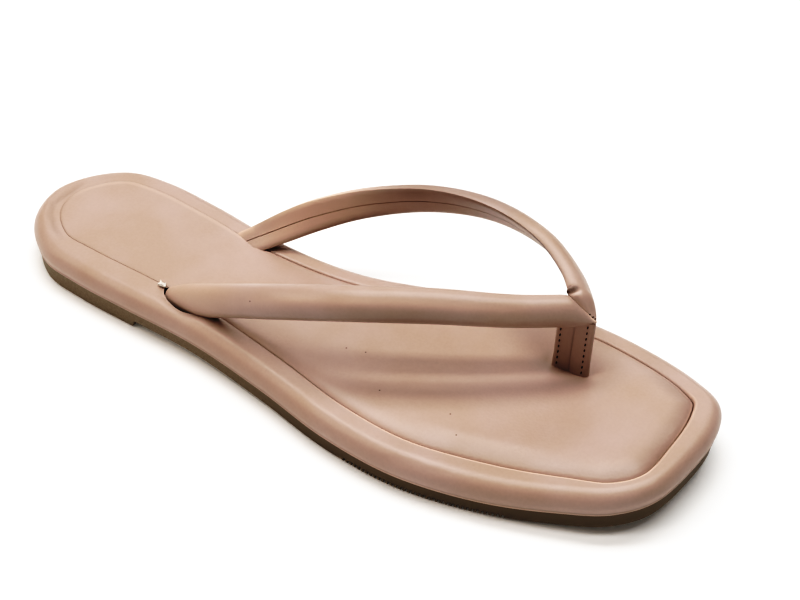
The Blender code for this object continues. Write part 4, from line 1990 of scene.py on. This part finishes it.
    def build_strap(self, shop: Workshop, form: StrapForm, name: str,
                    creases: Sequence[Crease]) -> bpy.types.Object:
        """Model and dress one strap.

        Args:
            shop: Where the piece is finished.
            form: The strap.
            name: Name of the piece.
            creases: Troughs on its outer face.

        Returns:
            The new object.
        """
        marks = self.rings(form, creases)
        marks += self.mitre(form, marks[-1].ring, creases)
        skin = Skin(marks[0].ring)
        for mark in marks[1:]:
            skin.grow(mark.ring)
        self.close(skin, form)
        mesh = skin.weld()
        if not form.laps():
            press(mesh, self.folds(marks, self.tucks))
        rim = marks[-1].ring[:form.arc_points - self.lip_hidden]
        # Lines of painted highlight and painted shade, each strap its own.
        bright = self.outer_highlight_lines if form.laps() else self.pale_lines
        dark = self.outer_shade_lines if form.laps() else self.shade_lines
        lit = self.folds(marks, bright)
        unlit = self.folds(marks, dark)
        paint(mesh, PALE, lambda point: self.pale(point, form, lit, rim))
        paint(mesh, SHADE, lambda point: self.shade(point, form, unlit, rim))
        return shop.to_object(name, mesh, [shop.finishes["strap"]], SOFT_DEG)

    def build_mitre_stitches(self, shop: Workshop) -> bpy.types.Object:
        """Thread ends that show where the outer strap is sewn over the inner one.

        Args:
            shop: Where the piece is finished.

        Returns:
            The new object.
        """
        ring = self.mitre_ring()
        side = Vector(self.stitch_side).normalized()
        mesh = bmesh.new()
        for index in self.stitch_points:
            way = (ring[index + 1] - ring[index - 1]).normalized()
            add_stitch(mesh, ring[index] + side * self.stitch_out, mix(way, side, 0.5),
                       self.stitch_length, self.stitch_radius)
        return shop.to_object("mitre_stitches", mesh, [shop.finishes["thread"]])

    def build(self, shop: Workshop) -> None:
        """Model, dress and declare both straps and the stitches at their mitre.

        Args:
            shop: Where the pieces are finished.
        """
        outer = self.build_strap(shop, self.lateral, "strap_outer_side", self.lateral_creases)
        shop.ship(outer, node="upper")
        inner = self.build_strap(shop, self.medial, "strap_inner_side", self.medial_creases)
        shop.ship(inner)
        shop.ship(self.build_mitre_stitches(shop))


def add_stitch(mesh: bmesh.types.BMesh, place: Vector, way: Vector, length: float,
               radius: float) -> None:
    """Add one stitch: a short round dash of thread.

    Args:
        mesh: Mesh in millimetres that gets the stitch.
        place: Middle of the stitch.
        way: Direction that it runs in.
        length: Its length.
        radius: Half its thickness.
    """
    turn = way.normalized().to_track_quat("Z", "Y").to_matrix().to_4x4()
    stretch = Matrix.Diagonal((1.0, 1.0, length / (2.0 * radius), 1.0))
    matrix = Matrix.Translation(place) @ turn @ stretch
    bmesh.ops.create_icosphere(mesh, subdivisions=2, radius=radius, matrix=matrix)


@dataclass
class ToePost:
    """Folded strip between the toes, with its butted seam and two rows of stitches."""

    x: float = -17.0
    rear: float = 189.2
    front: float = 201.6
    thickness: float = 3.0
    foot_z: float = 9.0
    top_rear: float = 38.0
    top_front: float = 37.0
    rows: int = 34
    end_points: int = 9
    face_places: tuple[float, ...] = (
        0.05, 0.14, 0.24, 0.34, 0.42, 0.465, 0.487, 0.5,
        0.513, 0.535, 0.58, 0.66, 0.76, 0.86, 0.95)
    seam: float = 0.18
    seam_width: float = 0.018
    # Painted shade along the seam's groove.
    seam_shade: float = 0.15
    seam_shade_run: tuple[float, float] = (0.12, 0.4)
    pale: float = 0.15
    puff: float = 0.22
    # The strip is a little wider at its foot, over this many rows.
    flare: float = 0.05
    flare_rows: float = 9.0
    stitch_pitch: float = 2.4
    stitch_inset: float = 1.9
    stitch_length: float = 1.15
    stitch_radius: float = 0.22
    stitch_low: float = 16.2
    stitch_count: int = 9
    stitch_out: float = 0.08
    stitch_way: tuple[float, float, float] = (0.0, 0.12, 1.0)

    def middle(self) -> float:
        """Middle of the strip along the shoe."""
        return (self.rear + self.front) / 2.0

    def outline(self) -> list[Vector]:
        """Plan of the strip, round at its edges and seamed down both faces.

        Returns:
            Points of the plan.
        """
        radius = self.thickness / 2.0
        low = self.rear + radius
        high = self.front - radius
        points = []
        for sign, start, end, centre in ((1.0, low, high, high), (-1.0, high, low, low)):
            for place in self.face_places:
                away = abs(place - 0.5)
                sink = self.seam * bell(away, self.seam_width)
                swell = self.puff * math.sin(math.pi * min(away / 0.5, 1.0)) ** 2
                out = sign * (radius + swell - sink)
                points.append(Vector((self.x + out, mix(start, end, place), 0.0)))
            for step in range(self.end_points):
                turn = math.pi * step / (self.end_points - 1)
                points.append(Vector((self.x + sign * radius * math.cos(turn),
                                      centre + sign * radius * math.sin(turn), 0.0)))
        return points

    def ring(self, outline: Sequence[Vector], share: float) -> list[Vector]:
        """One level section of the strip.

        Args:
            outline: Plan of the strip.
            share: Place from its foot at 0 to its top at 1.

        Returns:
            Points of the section.
        """
        flare = 1.0 + self.flare * bell(share * self.rows, self.flare_rows)
        points = []
        for point in outline:
            forward = (point.y - self.rear) / (self.front - self.rear)
            top = mix(self.top_rear, self.top_front, forward)
            y = self.middle() + (point.y - self.middle()) * flare
            points.append(Vector((point.x, y, mix(self.foot_z, top, share))))
        return points

    def shade(self, point: Vector) -> float:
        """Painted shade on the strip, along its seam."""
        away = abs(point.y - self.middle())
        return self.seam_shade * (1.0 - smoothstep(*self.seam_shade_run, away))

    def build_strip(self, shop: Workshop) -> bpy.types.Object:
        """Model and dress the strip.

        Args:
            shop: Where the piece is finished.

        Returns:
            The new object.
        """
        outline = self.outline()
        skin = Skin(self.ring(outline, 0.0))
        skin.cap()
        skin.restart()
        for row in range(1, self.rows + 1):
            skin.grow(self.ring(outline, row / self.rows))
        skin.cap()
        mesh = skin.weld()
        paint(mesh, SHADE, self.shade)
        paint(mesh, PALE, lambda point: self.pale)
        return shop.to_object("toe_post_strip", mesh, [shop.finishes["strap"]], SOFT_DEG)

    def build_stitches(self, shop: Workshop) -> bpy.types.Object:
        """Two rows of stitches on each face.

        Args:
            shop: Where the piece is finished.

        Returns:
            The new object.
        """
        mesh = bmesh.new()
        face = self.thickness / 2.0 + self.stitch_out
        for sign in (1.0, -1.0):
            for y in (self.rear + self.stitch_inset, self.front - self.stitch_inset):
                for step in range(self.stitch_count):
                    z = self.stitch_low + self.stitch_pitch * step
                    add_stitch(mesh, Vector((self.x + sign * face, y, z)),
                               Vector(self.stitch_way), self.stitch_length, self.stitch_radius)
        return shop.to_object("post_stitches", mesh, [shop.finishes["thread"]])

    def build(self, shop: Workshop) -> None:
        shop.ship(self.build_strip(shop), node="toe_post")
        shop.ship(self.build_stitches(shop))


@dataclass
class SlotFleck:
    """Shred of pale backing that shows at the rear end of the outer strap's slot."""

    place: tuple[float, float, float] = (20.4, 65.0, 16.0)
    length: float = 2.5
    width: float = 2.6
    thickness: float = 1.2
    curl: float = 0.25
    curl_pitch: float = 2.2
    fray: float = 0.9
    fray_pitch: float = 1.5
    fray_seed: int = 4
    turn_deg: float = 62.0
    tilt_deg: float = -22.0

    def build(self, shop: Workshop) -> None:
        """Args:
            shop: Where the piece is finished.
        """
        mesh = bmesh.new()
        noise.seed_set(self.fray_seed)
        bmesh.ops.create_icosphere(mesh, subdivisions=3, radius=0.5)
        bmesh.ops.scale(mesh, vec=(self.length, self.width, self.thickness), verts=mesh.verts)
        for vertex in mesh.verts:
            vertex.co.z += self.curl * math.sin(vertex.co.x * self.curl_pitch)
            vertex.co += noise.noise_vector(vertex.co * self.fray_pitch) * self.fray
        turn = Matrix.Rotation(math.radians(self.turn_deg), 3, "Z")
        tilt = Matrix.Rotation(math.radians(self.tilt_deg), 3, "X")
        bmesh.ops.rotate(mesh, cent=(0.0, 0.0, 0.0), matrix=turn @ tilt, verts=mesh.verts)
        bmesh.ops.translate(mesh, vec=self.place, verts=mesh.verts)
        piece = shop.to_object("slot_backing_shred", mesh, [shop.finishes["backing"]])
        shop.ship(piece)


class Lamp(NamedTuple):
    """One soft light: its place from the target and its size in metres, its power in watts."""

    name: str
    away: tuple[float, float, float]
    size: tuple[float, float]
    power: float
    tint: str = "#ffffff"
    sheen_only: bool = False


@dataclass
class Studio:
    """Pale floor, soft lights and the camera at the photograph's angle."""

    shift: Vector
    camera_place: tuple[float, float, float] = (326.3, 322.6, 369.0)
    camera_right: tuple[float, float, float] = (-0.5053, 0.8624, 0.0289)
    camera_up: tuple[float, float, float] = (-0.5690, -0.3582, 0.7402)
    camera_back: tuple[float, float, float] = (0.6487, 0.3577, 0.6717)
    lens: float = 72.49
    sensor: float = 36.0
    clip: tuple[float, float] = (0.01, 50.0)
    floor_half: float = 6.0
    light_target: tuple[float, float, float] = (0.0, 0.0, 0.02)
    lamps: tuple[Lamp, ...] = (
        Lamp("strip_front", (0.12, 0.17, 1.8), (2.0, 0.24), 17.5),
        Lamp("strip_middle", (-0.34, -0.25, 1.8), (2.0, 0.24), 17.5),
        Lamp("strip_back", (-0.60, -0.39, 1.8), (2.0, 0.24), 11.0),
        Lamp("box_heel", (0.52, -0.66, 0.60), (0.5, 0.5), 2.5, "#fff0e2"),
        Lamp("box_backdrop", (-1.3, -0.75, 0.95), (2.0, 1.0), 9.0),
        Lamp("box_camera_side", (0.79, 0.43, 1.55), (2.4, 1.0), 3.2, "#ffecdb"),
        Lamp("card_camera_side", (0.80, 0.44, 1.57), (2.4, 1.0), 5.2, "#fff0e2", True),
    )
    sky: float = 0.05
    # Print curve from light on the shoe to light in the picture: hard, warm, white paper.
    print_white: float = 1.2
    print_curve: tuple[tuple[float, float], ...] = (
        (0.055, 0.0055), (0.11, 0.0150), (0.18, 0.05), (0.255, 0.115), (0.35, 0.21),
        (0.5, 0.415), (0.67, 0.62), (0.8, 0.755), (1.0, 0.92))

    def build(self, paper: bpy.types.Material) -> None:
        """Make the floor, the lights and the camera, and set the print curve.

        Args:
            paper: Material of the floor.
        """
        self.set_print()
        self.add_floor(paper)
        world = bpy.data.worlds.new("soft_white_tent")
        world.use_nodes = True
        set_inputs(world.node_tree, world.node_tree.nodes["Background"], {
            "Color": linear("#ffffff"), "Strength": self.sky})
        bpy.context.scene.world = world
        for lamp in self.lamps:
            self.add_light(lamp)
        self.add_camera()

    def set_print(self) -> None:
        """Set the picture's contrast."""
        view = bpy.context.scene.view_settings
        view.view_transform = "Standard"
        view.use_curve_mapping = True
        view.curve_mapping.white_level = (self.print_white,) * 3
        # The fourth curve of the mapping is the one for all three colours.
        for light, picture in self.print_curve:
            view.curve_mapping.curves[3].points.new(light / self.print_white, picture)
        view.curve_mapping.update()

    def add_floor(self, paper: bpy.types.Material) -> None:
        """Lay the floor as stage, not as part of the shoe.

        Args:
            paper: Its material.
        """
        mesh = bmesh.new()
        bmesh.ops.create_grid(mesh, x_segments=1, y_segments=1, size=self.floor_half)
        data = bpy.data.meshes.new("floor")
        mesh.to_mesh(data)
        mesh.free()
        data.materials.append(paper)
        floor = bpy.data.objects.new("floor", data)
        bpy.context.scene.collection.objects.link(floor)
        floor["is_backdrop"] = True

    def add_light(self, lamp: Lamp) -> None:
        """Hang one soft light around the shoe, with its long side level with the picture.

        Args:
            lamp: The light.
        """
        target = Vector(self.light_target)
        away = Vector(lamp.away)
        back = away.normalized()
        right = Vector((self.camera_right[0], self.camera_right[1], 0.0))
        right = (right - back * right.dot(back)).normalized()
        light = bpy.data.lights.new(lamp.name, "AREA")
        light.shape = "RECTANGLE"
        light.size, light.size_y = lamp.size
        light.energy = lamp.power
        light.color = linear(lamp.tint)[:3]
        hung = bpy.data.objects.new(lamp.name, light)
        turn = Matrix((right, back.cross(right), back)).transposed().to_4x4()
        hung.matrix_world = Matrix.Translation(target + away) @ turn
        hung.visible_diffuse = not lamp.sheen_only
        bpy.context.scene.collection.objects.link(hung)

    def add_camera(self) -> None:
        """Place the camera as the photograph was taken."""
        lens = bpy.data.cameras.new("camera")
        lens.lens = self.lens
        lens.sensor_width = self.sensor
        lens.clip_start, lens.clip_end = self.clip
        camera = bpy.data.objects.new("camera", lens)
        axes = (self.camera_right, self.camera_up, self.camera_back)
        turn = Matrix([Vector(axis) for axis in axes]).transposed().to_4x4()
        place = (Vector(self.camera_place) + self.shift) * MM
        camera.matrix_world = Matrix.Translation(place) @ turn
        bpy.context.scene.collection.objects.link(camera)
        bpy.context.scene.camera = camera


def main() -> None:
    """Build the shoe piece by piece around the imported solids."""
    logging.basicConfig(level=logging.INFO, format="%(name)s %(message)s")
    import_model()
    solid_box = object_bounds()
    post = ToePost()
    low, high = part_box("toe_post")
    shift = Vector(((low.x + high.x) / 2.0 / MM - post.x, low.y / MM - post.rear, 0.0))

    shop = Workshop(shift)
    sock_specks = (
        (23.8, 149.9), (27.5, 178.9), (21.1, 173.3), (11.8, 137.6), (13.5, 131.5))
    strap_specks = ((26.89, 104.6, 32.83),)
    shop.finishes = {
        "rubber": RubberFinish().make(),
        "wrap": LeatherFinish("nude_faux_leather_lasted_wrap").make(shift),
        "sock": LeatherFinish("nude_faux_leather_padded_sock", specks=sock_specks).make(shift),
        "strap": LeatherFinish("nude_faux_leather_folded_strap", specks=strap_specks).make(shift),
        "thread": ThreadFinish().make(),
        "board": FibreFinish("dark_fibre_board_cut", "#2a1a12", "#120a07").make(),
        "backing": FibreFinish("white_backing_cloth_torn", "#f4f1ec", "#d8d2c8").make(),
    }
    form = SoleForm()
    upper = StrapUpper()
    slots = upper.slots(shop)
    Outsole(form).build(shop)
    Footbed(form).build(shop, slots, upper.hole())
    Sock(form).build(shop, slots)
    for cutter in slots:
        bpy.data.objects.remove(cutter, do_unlink=True)
    upper.build(shop)
    post.build(shop)
    SlotFleck().build(shop)
    Studio(shift).build(PaperFinish().make())

    boxes = {"cad": solid_box, "visual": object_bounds()}
    {name: [list(corner) for corner in box] for name, box in boxes.items()}


if __name__ == "__main__":
    main()
